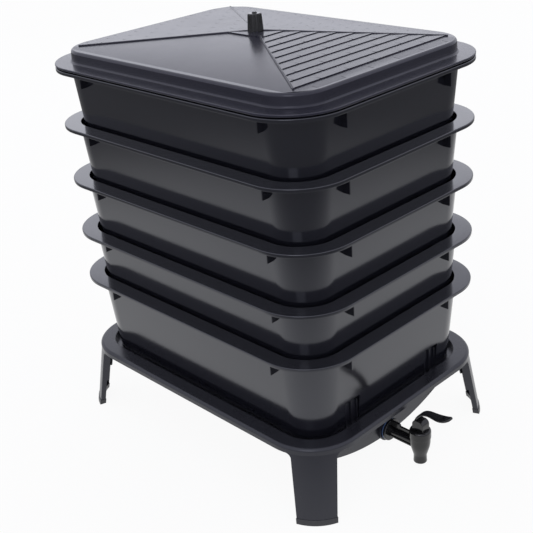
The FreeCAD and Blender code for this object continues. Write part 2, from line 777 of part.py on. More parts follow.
# Tap. Levels are taken from the axis of its barrel, and TAP is the axis of its upright body.

COLLAR_BACK = "boss_face + outer_washer_thickness"
TAP = f"({COLLAR_BACK} + collar_thickness + tap_reach)"
BONNET_LOW = "(tap_height + bowl_top)"
BONNET_TOP = "(tap_height + bowl_top + bonnet_height)"
PIN_LEVEL = f"({BONNET_TOP} + pin_rise)"


def ring(name, radius, hole, thickness, start, along):
    """A flat ring on the barrel's axis, from a distance out from the origin."""
    disc = rod(name + "_disc", radius, thickness, y=f"-({start})", z="tap_height", along=along)
    bore = rod(name + "_hole", hole, f"3 * ({thickness})", z="tap_height", along=along,
               y=f"-({start}) {'+' if along == 'out' else '-'} ({thickness})")
    return without(name, disc, bore)


def tap_clamp():
    outer = ring("tap_washer_outer", "outer_washer_radius", "tap_hole_radius", "outer_washer_thickness",
                 "boss_face", "out")
    inner_face = "boss_face - boss_wall"
    inner = ring("tap_washer_inner", "inner_washer_radius", "tap_hole_radius", "inner_washer_thickness",
                 inner_face, "in")
    nut_face = f"{inner_face} - inner_washer_thickness"
    bar = hexagon("tap_nut_bar", "tap_nut_width", "tap_nut_height", y=f"-({nut_face})", z="tap_height", along="in")
    bore = rod("tap_nut_hole", "shank_radius", "3 * tap_nut_height", y=f"-({nut_face}) - tap_nut_height",
               z="tap_height", along="in")
    part(outer, "tap_washer_outer")
    part(inner, "tap_washer_inner")
    part(without("tap_nut", bar, bore), "tap_nut")


def turned(name, profile):
    """A piece turned about the tap's upright axis, from (radius, height over the barrel) points."""
    centre = size("boss_face") + size("outer_washer_thickness") + size("collar_thickness") + size("tap_reach")
    points = [Vector(radius, -centre, level + size("tap_height")) for radius, level in profile]
    face = Part.Face(Part.makePolygon(points + points[:1]))
    return formed(name, face.revolve(Vector(0, -centre, 0), Vector(0, 0, 1), 360))


def tap_body():
    drop = -size("nozzle_drop")
    nozzle = size("nozzle_radius")
    bowl = size("bowl_radius")
    shoulder = drop + size("nozzle_length")
    top = size("bowl_top")
    outside = turned("tap_bowl", [
        (0, drop), (nozzle - 0.6, drop), (nozzle, drop + 0.8), (nozzle, shoulder),
        (nozzle + 1.6, shoulder + 5), (bowl - 0.8, -bowl / 2), (bowl, 0), (bowl, top), (0, top),
    ])
    seat = -size("seat_height")
    bore = size("nozzle_bore_radius")
    chamber = bowl - size("bowl_wall")
    inside = turned("tap_chamber", [
        (0, drop - 1), (bore, drop - 1), (bore, seat), (chamber, seat + 4), (chamber, top + 1), (0, top + 1),
    ])
    barrel = rod("tap_barrel", "barrel_radius", f"tap_reach + collar_thickness / 2", y=f"-({COLLAR_BACK})",
                 z="tap_height", along="out")
    collar = rod("tap_collar", "collar_radius", "collar_thickness", y=f"-({COLLAR_BACK})", z="tap_height",
                 along="out")
    shank = rod("tap_shank", "shank_radius", "shank_length + outer_washer_thickness", y=f"-({COLLAR_BACK})",
                z="tap_height", along="in")
    neck_start = f"{COLLAR_BACK} + collar_thickness / 2"
    fin = block("tap_fin", "fin_thickness", "fin_length", "fin_height", "0",
                f"-({neck_start} + fin_length / 2)", "tap_height")
    fin_run = "tap_reach - bonnet_radius"
    low_fin = block("tap_low_fin", "fin_thickness", fin_run, "fin_height - 3 * flange_thickness / 2", "0",
                    f"-({neck_start} + ({fin_run}) / 2)", "tap_height")
    flange = block("tap_flange", "flange_width", "tap_reach", "flange_thickness", "0",
                   f"-({neck_start} + tap_reach / 2)", "tap_height - flange_drop")
    bore_out = rod("tap_bore", "tap_bore_radius", "tap_reach + collar_thickness + shank_length + 2 * outer_washer_thickness",
                   y=f"-({TAP})", z="tap_height", along="in")
    body = joined("tap_outside", outside, barrel, collar, shank, fin, low_fin, flange)
    return part(without("tap_body", body, gathered("tap_passages", [inside, bore_out])), "tap_body")


def tap_bonnet():
    low = size("bowl_top")
    top = low + size("bonnet_height")
    radius = size("bonnet_radius")
    inner = size("bowl_radius") - size("bowl_wall")
    hole = size("stem_radius") + size("stem_gap")
    roof = top - size("bonnet_top_thickness")
    cap = turned("tap_bonnet", [
        (hole, roof), (inner, roof), (inner, low), (radius - 0.8, low), (radius, low + 0.8),
        (radius, top - 3), (radius - 3, top), (hole, top),
    ])
    return part(cap, "tap_bonnet")


def tap_valve():
    seat = -size("seat_height")
    top = size("bowl_top") + size("bonnet_height")
    cup_top = seat + 4 + size("cup_height")
    cup_radius = size("cup_radius")
    cup = turned("tap_seat_cup", [
        (0, seat + 1.5), (cup_radius - 3, seat + 1.5), (cup_radius, seat + 4.2), (cup_radius, cup_top), (0, cup_top),
    ])
    roof = top - size("bonnet_top_thickness")
    coil = size("spring_radius")
    wire = size("spring_wire")
    spring = turned("tap_spring", [
        (coil - wire, cup_top), (coil + wire, cup_top), (coil + wire, roof), (coil - wire, roof),
    ])
    stem_top = "pin_rise + 2 * pin_radius"
    rod_up = rod("tap_stem_rod", "stem_radius", f"{BONNET_TOP} - tap_height - ({cup_top}) + {stem_top}",
                 y=f"-{TAP}", z=f"tap_height + {cup_top}")
    pin_hole = rod("tap_stem_eye", "pin_radius", "4 * stem_radius", x="-2 * stem_radius", y=f"-{TAP}",
                   z=PIN_LEVEL, along="across")
    part(cup, "tap_seat_cup")
    part(spring, "tap_spring")
    part(without("tap_stem", rod_up, pin_hole), "tap_stem")
    pin = rod("tap_lever_pin", "pin_radius", "hub_width - 1", x="-(hub_width - 1) / 2",
              y=f"stand_middle - {TAP}", z=PIN_LEVEL, along="across")
    part_in_place(pin, "tap_lever_pin")


def tap_lever():
    """A hub on the pin and a paddle that rises in an arch and turns up at its tip."""
    centre = size("boss_face") + size("outer_washer_thickness") + size("collar_thickness") + size("tap_reach")
    top = size("tap_height") + size("bowl_top") + size("bonnet_height")
    reach = size("lever_reach")
    rise = size("lever_rise")
    half = size("lever_thickness") / 2
    route = [(-0.1, 0.16), (0.02, 0.45), (0.18, 0.68), (0.4, 0.79), (0.66, 0.81), (1.0, 1.01)]
    upper = []
    lower = []
    for index, (out, up) in enumerate(route):
        before = route[max(index - 1, 0)]
        after = route[min(index + 1, len(route) - 1)]
        slope = Vector(0, -(after[0] - before[0]) * reach, (after[1] - before[1]) * rise).normalize()
        normal = Vector(0, -slope.z, slope.y) * (-half if index < len(route) - 1 else -half / 2)
        point = Vector(0, -centre - out * reach, top + up * rise)
        upper.append(point + normal)
        lower.append(point - normal)
    lower.reverse()
    above = Part.BSplineCurve()
    above.interpolate(upper)
    below = Part.BSplineCurve()
    below.interpolate(lower)
    edges = [
        above.toShape(), Part.makeLine(upper[-1], lower[0]),
        below.toShape(), Part.makeLine(lower[-1], upper[0]),
    ]
    width = size("lever_width")
    paddle = Part.Face(Part.Wire(edges)).extrude(Vector(width, 0, 0))
    paddle.translate(Vector(-width / 2, 0, 0))
    blade = formed("tap_lever_blade", paddle)
    hub = block("tap_lever_hub", "hub_width", "hub_front + hub_back", "2 * pin_rise", "0",
                f"-{TAP} - (hub_front - hub_back) / 2", BONNET_TOP)
    slot = block("tap_lever_slot", "hub_slot_width", "hub_front + hub_back + 2", "2 * pin_rise + lever_rise / 3", "0",
                 f"-{TAP} - (hub_front - hub_back) / 2", f"{BONNET_TOP} - 1")
    eye = rod("tap_lever_eye", "pin_radius + pin_gap", "2 * hub_width", x="-hub_width", y=f"-{TAP}", z=PIN_LEVEL,
              along="across")
    return part(without("tap_lever", joined("tap_lever_solid", hub, blade), gathered("tap_lever_cuts", [slot, eye])),
                "tap_lever")


tap_clamp()
tap_body()
tap_bonnet()
tap_valve()
tap_lever()

doc.recompute()
for item in doc.Objects:
    if "Invalid" in item.State or "Error" in item.State:
        raise RuntimeError(f"{item.Name} did not build: {item.State}")
os.makedirs("parts", exist_ok=True)
for item in PARTS:
    if item.Shape.isNull() or not item.Shape.isValid():
        raise RuntimeError(f"{item.Label} has no valid shape")
for item in PARTS:
    item.Shape.exportStep(f"parts/{item.Label}.step")
    box = item.Shape.BoundBox
    print(f"{item.Label:20} solids {len(item.Shape.Solids)}  volume {item.Shape.Volume / 1000:8.1f} cm3  "
          f"z {box.ZMin:7.1f} to {box.ZMax:7.1f}")
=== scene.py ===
"""Wormery: five slotted trays and a slate-patterned lid on a four-legged stand with a drain tap."""

import math

import bpy
from mathutils import Matrix, Vector


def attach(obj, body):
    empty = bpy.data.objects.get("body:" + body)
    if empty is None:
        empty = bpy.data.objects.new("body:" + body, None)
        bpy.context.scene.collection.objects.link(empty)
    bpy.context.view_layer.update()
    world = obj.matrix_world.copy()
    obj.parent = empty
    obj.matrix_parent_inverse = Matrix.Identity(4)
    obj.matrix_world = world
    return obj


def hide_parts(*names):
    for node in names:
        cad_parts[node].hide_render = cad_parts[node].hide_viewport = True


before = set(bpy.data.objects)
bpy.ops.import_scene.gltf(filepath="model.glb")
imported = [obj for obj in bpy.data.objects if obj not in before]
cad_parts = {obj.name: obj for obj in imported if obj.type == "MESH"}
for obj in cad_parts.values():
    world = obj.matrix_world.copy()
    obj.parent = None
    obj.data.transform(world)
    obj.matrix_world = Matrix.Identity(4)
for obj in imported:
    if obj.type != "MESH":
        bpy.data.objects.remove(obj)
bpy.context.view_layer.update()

# Measures shared by the mouldings, in metres; the middle of the stack lies behind the origin
MIDDLE = 0.0355
RIM_HALF_X = 0.2135
RIM_HALF_Y = 0.285
RIM_CORNER = 0.084
WALL_INSET = 0.0235
WALL = 0.0024
DRAFT = math.tan(math.radians(5))
TRAY_RIMS = {1: 0.2575, 2: 0.341, 3: 0.4325, 4: 0.524, 5: 0.6155}
TRAY_HEIGHT = 0.1
BOTTOM_TRAY_HEIGHT = 0.1455
CHANNEL_PLACE = 0.096
CHANNEL_WIDTH = 0.032
CHANNEL_INSET = 0.0425
STAND_TOP = 0.122
SEAT = 0.112
SUMP_REACH = 0.241
SUMP_FACE = MIDDLE - SUMP_REACH
TROUGH_RADIUS = 0.358
LID_LEVEL = 0.6175
BOX_TOP = LID_LEVEL + 0.0225
ROOF_RISE = 0.017
PEAK = BOX_TOP + ROOF_RISE
TAP_LEVEL = 0.0475
TAP_Y = -0.2685
TAP_HOLE = 0.0083
TAP_WASHER = 0.0025
BOWL_RISE = 0.0125


# Modelling by hand


def start_editing(piece):
    """Opens a piece for editing with everything chosen."""
    take(piece)
    bpy.ops.object.mode_set(mode="EDIT")
    bpy.ops.mesh.select_all(action="SELECT")


def stop_editing():
    bpy.ops.object.mode_set(mode="OBJECT")


def put_down():
    if bpy.context.object and bpy.context.object.mode != "OBJECT":
        stop_editing()
    bpy.ops.object.select_all(action="DESELECT")


def take(piece):
    put_down()
    piece.select_set(True)
    bpy.context.view_layer.objects.active = piece


def fix_place(piece):
    take(piece)
    bpy.ops.object.transform_apply(location=True, rotation=True, scale=True)


def new_piece(name):
    piece = bpy.context.active_object
    piece.name = name
    piece.data.name = name
    fix_place(piece)
    return piece


def block(name, low, high):
    """A box between two corners."""
    low, high = Vector(low), Vector(high)
    put_down()
    bpy.ops.mesh.primitive_cube_add(size=1, location=(low + high) / 2)
    bpy.context.active_object.scale = high - low
    return new_piece(name)


def rod(name, radius, start, end, sides=48, end_radius=None):
    """A cylinder or cone between two points."""
    start, end = Vector(start), Vector(end)
    put_down()
    bpy.ops.mesh.primitive_cone_add(
        vertices=sides, radius1=radius, radius2=radius if end_radius is None else end_radius,
        depth=(end - start).length, location=(start + end) / 2,
        rotation=(end - start).to_track_quat("Z", "Y").to_euler(),
    )
    return new_piece(name)


def choose_nothing(piece, kind):
    """Gets a piece ready for choosing its faces, edges or points one by one."""
    take(piece)
    bpy.ops.object.mode_set(mode="EDIT")
    bpy.ops.mesh.select_mode(type=kind)
    bpy.ops.mesh.select_all(action="DESELECT")
    stop_editing()


def choose_faces(piece, test):
    choose_nothing(piece, "FACE")
    for face in piece.data.polygons:
        face.select = test(face.center, face.normal)
    bpy.ops.object.mode_set(mode="EDIT")


def choose_edges(piece, test):
    choose_nothing(piece, "EDGE")
    points = piece.data.vertices
    for line in piece.data.edges:
        line.select = test(points[line.vertices[0]].co, points[line.vertices[1]].co)
    bpy.ops.object.mode_set(mode="EDIT")


def choose_points(piece, test):
    choose_nothing(piece, "VERT")
    for point in piece.data.vertices:
        point.select = test(point.co)
    bpy.ops.object.mode_set(mode="EDIT")


def round_edges(piece, width, steps, test):
    choose_edges(piece, test)
    bpy.ops.mesh.bevel(offset=width, segments=steps, affect="EDGES", clamp_overlap=False)
    stop_editing()


def face_outwards(piece):
    start_editing(piece)
    bpy.ops.mesh.remove_doubles(threshold=0.000002)
    bpy.ops.mesh.normals_make_consistent(inside=False)
    stop_editing()


def modify(piece, kind, **settings):
    """Adds a modifier, sets it and applies it."""
    take(piece)
    bpy.ops.object.modifier_add(type=kind)
    modifier = piece.modifiers[-1]
    for setting, value in settings.items():
        setattr(modifier, setting, value)
    bpy.ops.object.modifier_apply(modifier=modifier.name)


def combine(piece, tool, how):
    """Cuts a piece by a tool, adds the tool to it, or keeps what they share."""
    modify(piece, "BOOLEAN", operation=how, solver="EXACT", object=tool)
    bpy.data.objects.remove(tool)


def soften(piece, width, steps=2, angle=38):
    """Rounds what is still sharp."""
    modify(
        piece, "BEVEL", width=width, segments=steps, limit_method="ANGLE", angle_limit=math.radians(angle),
        use_clamp_overlap=True,
    )


def finish_surface(piece, angle=32):
    """Smooth faces with crisp edges, weighted by the size of each face."""
    take(piece)
    bpy.ops.object.shade_smooth_by_angle(angle=math.radians(angle))
    modify(piece, "WEIGHTED_NORMAL", keep_sharp=True, weight=80)


def join(pieces, name):
    put_down()
    for piece in pieces:
        piece.select_set(True)
    bpy.context.view_layer.objects.active = pieces[0]
    bpy.ops.object.join()
    pieces[0].name = name
    pieces[0].data.name = name
    return pieces[0]


def copy_of(piece, name, shift=(0, 0, 0), mirror=(1, 1, 1)):
    """A copy with its own mesh, mirrored about the trays' middle and then shifted."""
    take(piece)
    bpy.ops.object.duplicate()
    twin = bpy.context.active_object
    twin.name = name
    twin.data.name = name
    centre = Vector((0, MIDDLE, 0))
    forth, back = Matrix.Translation(Vector(shift) + centre), Matrix.Translation(-centre)
    twin.data.transform(forth @ Matrix.Diagonal((*mirror, 1)) @ back)
    if math.prod(mirror) < 0:
        start_editing(twin)
        bpy.ops.mesh.normals_make_consistent(inside=False)
        stop_editing()
    return twin


def rounded_plate(name, inset, level, corner=RIM_CORNER):
    """A flat face with the trays' outline, drawn in by an inset, left open for editing."""
    put_down()
    bpy.ops.mesh.primitive_plane_add(size=2, location=(0, MIDDLE, level))
    bpy.context.active_object.scale = (RIM_HALF_X - inset, RIM_HALF_Y - inset, 1)
    plate = new_piece(name)
    bpy.ops.object.mode_set(mode="EDIT")
    bpy.ops.mesh.select_mode(type="FACE")
    bpy.ops.mesh.select_all(action="SELECT")
    bpy.ops.mesh.bevel(offset=corner - inset, segments=18, affect="VERTICES", clamp_overlap=False)
    bpy.ops.mesh.select_all(action="SELECT")
    return plate


def step_face(inward, along):
    """Shrinks the chosen face and pushes it along its normal, or leaves its size as it is."""
    if inward > 0:
        bpy.ops.mesh.inset(thickness=inward, depth=along, use_boundary=True, use_even_offset=True)
    else:
        bpy.ops.mesh.extrude_region_shrink_fatten(TRANSFORM_OT_shrink_fatten={"value": along})


def pull_down(depth):
    """Turns a new plate's face down and draws the plate out to a solid."""
    bpy.ops.mesh.flip_normals()
    bpy.ops.mesh.extrude_region_move(TRANSFORM_OT_translate={"value": (0, 0, -depth)})


def moulding(name, sections, corner=RIM_CORNER):
    """A solid of rounded sections, each an inset and a level, from the widest one on."""
    (inset, level), following = sections[0], sections[1:]
    piece = rounded_plate(name, inset, level, corner)
    turn = 1 if following[0][1] > level else -1
    if turn < 0:
        bpy.ops.mesh.flip_normals()
    bpy.ops.mesh.extrude_region_move(TRANSFORM_OT_translate={"value": (0, 0, 0)})
    for next_inset, next_level in following:
        step_face(next_inset - inset, (next_level - level) * turn)
        inset, level = next_inset, next_level
    face_outwards(piece)
    return piece


def inset_of(point):
    """How far a point lies inside the trays' outline, seen from above."""
    across = abs(point.x) - (RIM_HALF_X - RIM_CORNER)
    along = abs(point.y - MIDDLE) - (RIM_HALF_Y - RIM_CORNER)
    if across > 0 and along > 0:
        return RIM_CORNER - math.hypot(across, along)
    return RIM_CORNER - max(across, along)


def on_ring(inset, level, near=0.0001):
    """Edges that run round the outline at one inset and level."""
    def test(a, b):
        return (abs(a.z - level) < near and abs(b.z - level) < near
                and abs(inset_of(a) - inset) < near and abs(inset_of(b) - inset) < near)
    return test


def round_rings(piece, rings):
    """Rounds edges that run round the outline, each a width, a number of steps, an inset and a level."""
    for width, steps, inset, level in rings:
        round_edges(piece, width, steps, on_ring(inset, level))


# Trays


def at_wall(name, side, end, reaches, along, levels):
    """A box at a side wall or an end wall, from its reach off the middle and its place along the wall."""
    near, far = sorted(end * reach for reach in reaches)
    (start, stop), (low, high) = along, levels
    if side:
        return block(name, (near, MIDDLE + start, low), (far, MIDDLE + stop, high))
    return block(name, (start, MIDDLE + near, low), (stop, MIDDLE + far, high))


def beside_corners(name, across, place, insets, levels, side):
    """Four boxes as one tool: two on each of two opposite walls, at the same place from the middle."""
    half = RIM_HALF_X if side else RIM_HALF_Y
    reaches = [half - inset for inset in insets]
    boxes = []
    for end in (-1, 1):
        for hand in (-1, 1):
            along = (hand * place - across / 2, hand * place + across / 2)
            boxes.append(at_wall(name, side, end, reaches, along, levels))
    return join(boxes, name)


# Ribs under the flange, by whether the tray is the bottom one: side walls or not, the two places, the depth
RIBS = {
    False: ((False, 0.1057, 0.117, 0.0325), (True, 0.2, 0.186, 0.0268)),
    True: ((False, 0.114, 0.117, 0.0337), (True, 0.1885, 0.186, 0.0335)),
}


def under_flange(name, near_place, far_place, levels, side):
    """Two thin ribs on each of two opposite walls; the pair turns with the wall about the middle."""
    half_thickness, reach, root = 0.0011, 0.0092, 0.0035
    wall = (RIM_HALF_X if side else RIM_HALF_Y) - WALL_INSET
    ribs = []
    for end in (-1, 1):
        for place in (end * near_place, -end * far_place):
            along = (place - half_thickness, place + half_thickness)
            ribs.append(at_wall(name, side, end, (wall + reach, wall - root), along, levels))
    return join(ribs, name)


def slot_tool(name, low, high):
    """One round-ended slot, repeated over the floor in five columns of twelve."""
    slot = block(name, (-0.151, MIDDLE - 0.2005, low), (-0.105, MIDDLE - 0.1955, high))
    round_edges(slot, 0.0022, 4, lambda a, b: abs(a.z - b.z) > (high - low) / 2)
    for count, gap in ((5, (0.064, 0, 0)), (12, (0, 0.036, 0))):
        modify(
            slot, "ARRAY", count=count, use_relative_offset=False, use_constant_offset=True,
            constant_offset_displace=gap,
        )
    return slot


def tray(name, rim, height, stop_top, stop_low, channelled):
    """A tray: a flange with a lip, leaning walls, inner stops, ribs below the flange, a slotted floor."""
    lip, lip_wall, flange, floor, heel = 0.0055, 0.0024, 0.0028, 0.0026, 0.003
    inner = WALL_INSET + WALL
    base = rim - height
    fall = height - heel
    wall_top = WALL_INSET + flange * DRAFT
    foot_inset = WALL_INSET + fall * DRAFT
    piece = rounded_plate(name, 0, rim)
    pull_down(lip)
    step_face(lip_wall, 0)
    step_face(0, flange - lip)
    step_face(wall_top - lip_wall, 0)
    step_face(foot_inset - wall_top, fall - flange)
    step_face(heel, heel)
    choose_faces(piece, lambda centre, normal: centre.z > rim - 0.0001 and normal.z > 0.9)
    step_face(inner, 0)
    step_face((height - floor) * DRAFT, floor - height)
    stop_editing()
    round_rings(piece, (
        (0.0013, 3, 0, rim), (0.0008, 2, 0, rim - lip), (0.001, 2, inner, rim),
        (0.0012, 2, wall_top, rim - flange), (0.0012, 2, foot_inset, rim - fall),
        (0.0012, 2, foot_inset + heel, base),
    ))
    face_outwards(piece)
    within = WALL_INSET + WALL / 2
    for side, across, place in ((False, 0.031, 0.113), (True, 0.025, 0.191)):
        stops = beside_corners(
            "stops", across, place, (0.02, 0.0405), (rim - stop_low - WALL, rim - stop_top), side
        )
        soften(stops, 0.0012)
        combine(stops, moulding("within", [(within, rim), (within + height * DRAFT, base)]), "INTERSECT")
        combine(piece, stops, "UNION")
    for side, near_place, far_place, depth in RIBS[channelled]:
        ribs = under_flange("ribs", near_place, far_place, (rim - depth, rim - flange / 2), side)
        soften(ribs, 0.0005)
        combine(piece, ribs, "UNION")
    if channelled:
        channel_top = rim - 0.1
        walls = beside_corners(
            "channel_walls", CHANNEL_WIDTH + 2 * WALL, CHANNEL_PLACE,
            (foot_inset + 0.0015, CHANNEL_INSET + WALL), (base + floor / 2, channel_top + WALL), False,
        )
        combine(piece, walls, "UNION")
        channels = beside_corners(
            "channels", CHANNEL_WIDTH, CHANNEL_PLACE,
            (WALL_INSET, CHANNEL_INSET), (base - 0.003, channel_top), False,
        )
        soften(channels, 0.0008)
        combine(piece, channels, "DIFFERENCE")
    combine(piece, slot_tool("slots", base - 0.01, base + 0.01), "DIFFERENCE")
    finish_surface(piece)
    return piece


# Stand


def tap_rod(name, radius, start, end, sides=48):
    """A rod along the tap's level axis, from front to back or the other way."""
    return rod(name, radius, (0, start, TAP_LEVEL), (0, end, TAP_LEVEL), sides=sides)


def trough(name, radius):
    """A long leaning cylinder whose lowest line falls towards the tap."""
    back_reach, front_level, back_level = 0.238, 0.035, 0.072
    fall = math.atan2(back_level - front_level, SUMP_REACH + back_reach)
    along = Vector((0, math.cos(fall), math.sin(fall)))
    upward = Vector((0, -math.sin(fall), math.cos(fall)))
    axis = Vector((0, SUMP_FACE, front_level)) + upward * TROUGH_RADIUS
    return rod(name, radius, axis - along * 0.3, axis + along * 0.9, sides=360)


def stand():
    """The stand: a rim with a skirt, a seat, a sump with the tap's boss and hole, and four ribbed posts."""
    slope, skirt, skirt_wall, plate = 0.0035, 0.0115, 0.003, 0.003
    inner = WALL_INSET + WALL
    drop = STAND_TOP - plate - SEAT + WALL
    piece = rounded_plate("stand_moulding", 0, STAND_TOP - slope)
    pull_down(skirt - slope)
    step_face(skirt_wall, 0)
    step_face(0, plate - skirt)
    step_face(WALL_INSET - skirt_wall, 0)
    step_face(drop * DRAFT, drop)
    choose_faces(piece, lambda centre, normal: centre.z > STAND_TOP - 0.004 and normal.z > 0.9)
    step_face(slope, slope)
    step_face(inner - slope, 0)
    step_face((STAND_TOP - SEAT) * DRAFT, SEAT - STAND_TOP)
    stop_editing()
    round_rings(piece, (
        (0.0016, 3, 0, STAND_TOP - slope), (0.0016, 3, slope, STAND_TOP), (0.0003, 1, 0, STAND_TOP - skirt),
        (0.0009, 2, skirt_wall, STAND_TOP - skirt), (0.0014, 3, inner, STAND_TOP),
    ))
    face_outwards(piece)

    sump_inset, sump_corner, sump_wall, sump_bottom = 0.047, 0.085, 0.0026, 0.03
    outside = moulding("sump_outside", [(sump_inset, SEAT - 0.001), (sump_inset, sump_bottom)], sump_corner)
    combine(outside, trough("trough_outside", TROUGH_RADIUS), "INTERSECT")
    soften(outside, 0.003, 3, 50)
    boss = tap_rod("tap_boss", 0.021, SUMP_FACE, SUMP_FACE + 0.012, sides=64)
    round_edges(boss, 0.0008, 2, lambda a, b: max(abs(a.y - SUMP_FACE), abs(b.y - SUMP_FACE)) < 0.0001)
    combine(outside, boss, "UNION")
    combine(piece, outside, "UNION")
    hollow = sump_inset + sump_wall
    inside = moulding("sump_inside", [(hollow, SEAT + 0.003), (hollow, sump_bottom)], sump_corner)
    combine(inside, trough("trough_inside", TROUGH_RADIUS - sump_wall), "INTERSECT")
    combine(piece, inside, "DIFFERENCE")
    combine(piece, tap_rod("tap_hole", TAP_HOLE, SUMP_FACE - 0.01, SUMP_FACE + 0.01), "DIFFERENCE")

    post_back, rib = 0.0415, 0.0034
    post = (post_back - WALL, post_back)
    post_rib = (post_back - WALL - rib, post_back - WALL / 2)
    parts = [piece]
    for insets, across, shift in (
        (post, 0.028, 0), (post_rib, 0.002, 0), (post_rib, 0.002, -0.013), (post_rib, 0.002, 0.013),
    ):
        levels = (SEAT - 0.001, SEAT + 0.038)
        parts.append(beside_corners("posts", across, CHANNEL_PLACE + shift, insets, levels, False))
        soften(parts[-1], 0.0004)
    for part in parts:
        finish_surface(part)
    return join(parts, "stand_moulding")


# Lid

# Half sizes of the roof at its eaves and at its flat top, and the sizes of its slates
ROOF_X = 0.176
ROOF_Y = 0.253
ROOF_TOP = 0.013
SLATE_WIDTH = 0.0545
SLATE_BUTT = 0.0013
SLATE_TAIL = 0.0002
SLATE_JOINT = 0.0014
COURSE = 0.0215
EAVES = 0.23

# The slates of each roof panel: its run from the peak, its half width at the eaves, its turn, its courses
PANELS = (
    ("front_slates", ROOF_Y, ROOF_X, 0, range(10)), ("right_slates", ROOF_X, ROOF_Y, 90, range(10)),
    ("rear_slates", ROOF_Y, ROOF_X, 180, range(10)), ("left_slates", ROOF_X, ROOF_Y, 270, (9,)),
)


def slate(name, length, fall):
    """One slate: a wedge with a thick butt at the front, whose joints open towards the butt."""
    tile = block(name, (-SLATE_WIDTH / 2, 0, -0.003), (SLATE_WIDTH / 2, length, SLATE_BUTT))
    choose_points(tile, lambda p: p.y > length / 2)
    bpy.ops.transform.translate(value=(0, 0, fall))
    choose_points(tile, lambda p: p.y > length / 2 and p.z > fall)
    bpy.ops.transform.translate(value=(0, 0, SLATE_TAIL - SLATE_BUTT))
    bpy.ops.mesh.select_all(action="SELECT")
    bpy.ops.mesh.bisect(plane_co=(0, 0.54 * length, 0), plane_no=(0, 1, 0))
    choose_points(tile, lambda p: p.y < 0.00001)
    narrower = (SLATE_WIDTH - SLATE_JOINT) / SLATE_WIDTH
    bpy.ops.transform.resize(value=(narrower, 1, 1), center_override=(0, 0, 0))
    stop_editing()
    return tile


def trim(piece, through, normal):
    """Cuts off what lies on the normal's side of a plane, and closes the cut."""
    start_editing(piece)
    bpy.ops.mesh.bisect(plane_co=through, plane_no=normal, use_fill=True, clear_outer=True)
    stop_editing()


def turn_about_middle(piece, angle):
    """Turns a piece about the roof's peak, seen from above."""
    take(piece)
    piece.rotation_euler = (0, 0, math.radians(angle))
    piece.location = (0, MIDDLE, 0)
    fix_place(piece)


def slated_panel(name, run, span, angle, courses):
    """The slates of one roof panel, laid in courses from the eaves and trimmed at the hips."""
    shrink = run / ROOF_Y
    pitch = COURSE * shrink
    slope = ROOF_RISE / (run - ROOF_TOP)
    tile = slate(name, pitch, slope * pitch)
    laid = []
    for course in courses:
        low = EAVES * shrink - course * pitch
        level = BOX_TOP + slope * (run - low)
        reach = low * span / run
        half = 0 if course % 2 else 0.5
        first = math.floor(-reach / SLATE_WIDTH - 0.5 + half)
        last = math.ceil(reach / SLATE_WIDTH + 0.5 - half)
        for place in range(first, last + 1):
            across = (place + half) * SLATE_WIDTH
            if abs(across) - SLATE_WIDTH / 2 >= reach:
                continue
            piece = copy_of(tile, name, (across, -low, level))
            if abs(across) + SLATE_WIDTH / 2 > (low - pitch) * span / run:
                for side in (-1, 1):
                    trim(piece, (0, 0, 0), (side * run, span, 0))
            if piece.data.polygons:
                laid.append(piece)
            else:
                bpy.data.objects.remove(piece)
    bpy.data.objects.remove(tile)
    panel = join(laid, name)
    turn_about_middle(panel, angle)
    return panel


def eaves_joints(name, run, span, angle):
    """Thin tools for the joints of the lowest course, which lies level with the roof."""
    half_width, length, margin = 0.00045, 0.0115, 0.006
    shrink = run / ROOF_Y
    slope = ROOF_RISE / (run - ROOF_TOP)
    low = 0.2515 * shrink
    level = BOX_TOP + slope * (run - low)
    tools = []
    for place in range(-4, 5):
        across = (place + 0.5) * SLATE_WIDTH
        if abs(across) < 0.24 * shrink * span / run - margin:
            tools.append(block(
                name, (across - half_width, -low, level - 0.0012),
                (across + half_width, length * shrink - low, level + 0.004),
            ))
    tools = join(tools, name)
    turn_about_middle(tools, angle)
    return tools


def hip_roof(name, low, depth):
    """Four panels that rise to a small flat top, on a plinth of some depth."""
    roof = block(name, (-ROOF_X, MIDDLE - ROOF_Y, low - depth), (ROOF_X, MIDDLE + ROOF_Y, low))
    choose_faces(roof, lambda centre, normal: normal.z > 0.9)
    bpy.ops.mesh.extrude_region_move(TRANSFORM_OT_translate={"value": (0, 0, ROOF_RISE)})
    smaller = (ROOF_TOP / ROOF_X, ROOF_TOP / ROOF_Y, 1)
    bpy.ops.transform.resize(value=smaller, center_override=(0, MIDDLE, 0))
    stop_editing()
    return roof


def ridge_strip(name):
    """A raised strip that runs from the knob down one hip, rounded on top and at its end."""
    half_width, reach = 0.0016, 0.283
    level_end = 0.0158
    run = math.hypot(ROOF_X, ROOF_Y)
    drop = ROOF_RISE / (ROOF_Y - ROOF_TOP)

    def above_roof(point):
        return point.z - (PEAK - drop * max(0, point.x * ROOF_Y / run - ROOF_TOP))

    strip = block(name, (0, -half_width, PEAK - 0.0024), (reach, half_width, PEAK + 0.0017))
    start_editing(strip)
    bpy.ops.mesh.bisect(plane_co=(level_end, 0, 0), plane_no=(1, 0, 0))
    choose_points(strip, lambda p: p.x > level_end + 0.1)
    bpy.ops.transform.translate(value=(0, 0, -drop * (reach * ROOF_Y / run - ROOF_TOP)))
    stop_editing()
    round_edges(strip, 0.0013, 3, lambda a, b: min(a.x, b.x) > reach - 0.003 and abs(a.z - b.z) > 0.003)
    round_edges(strip, 0.001, 3, lambda a, b: min(above_roof(a), above_roof(b)) > 0.0012 and a.y * b.y > 0)
    return strip


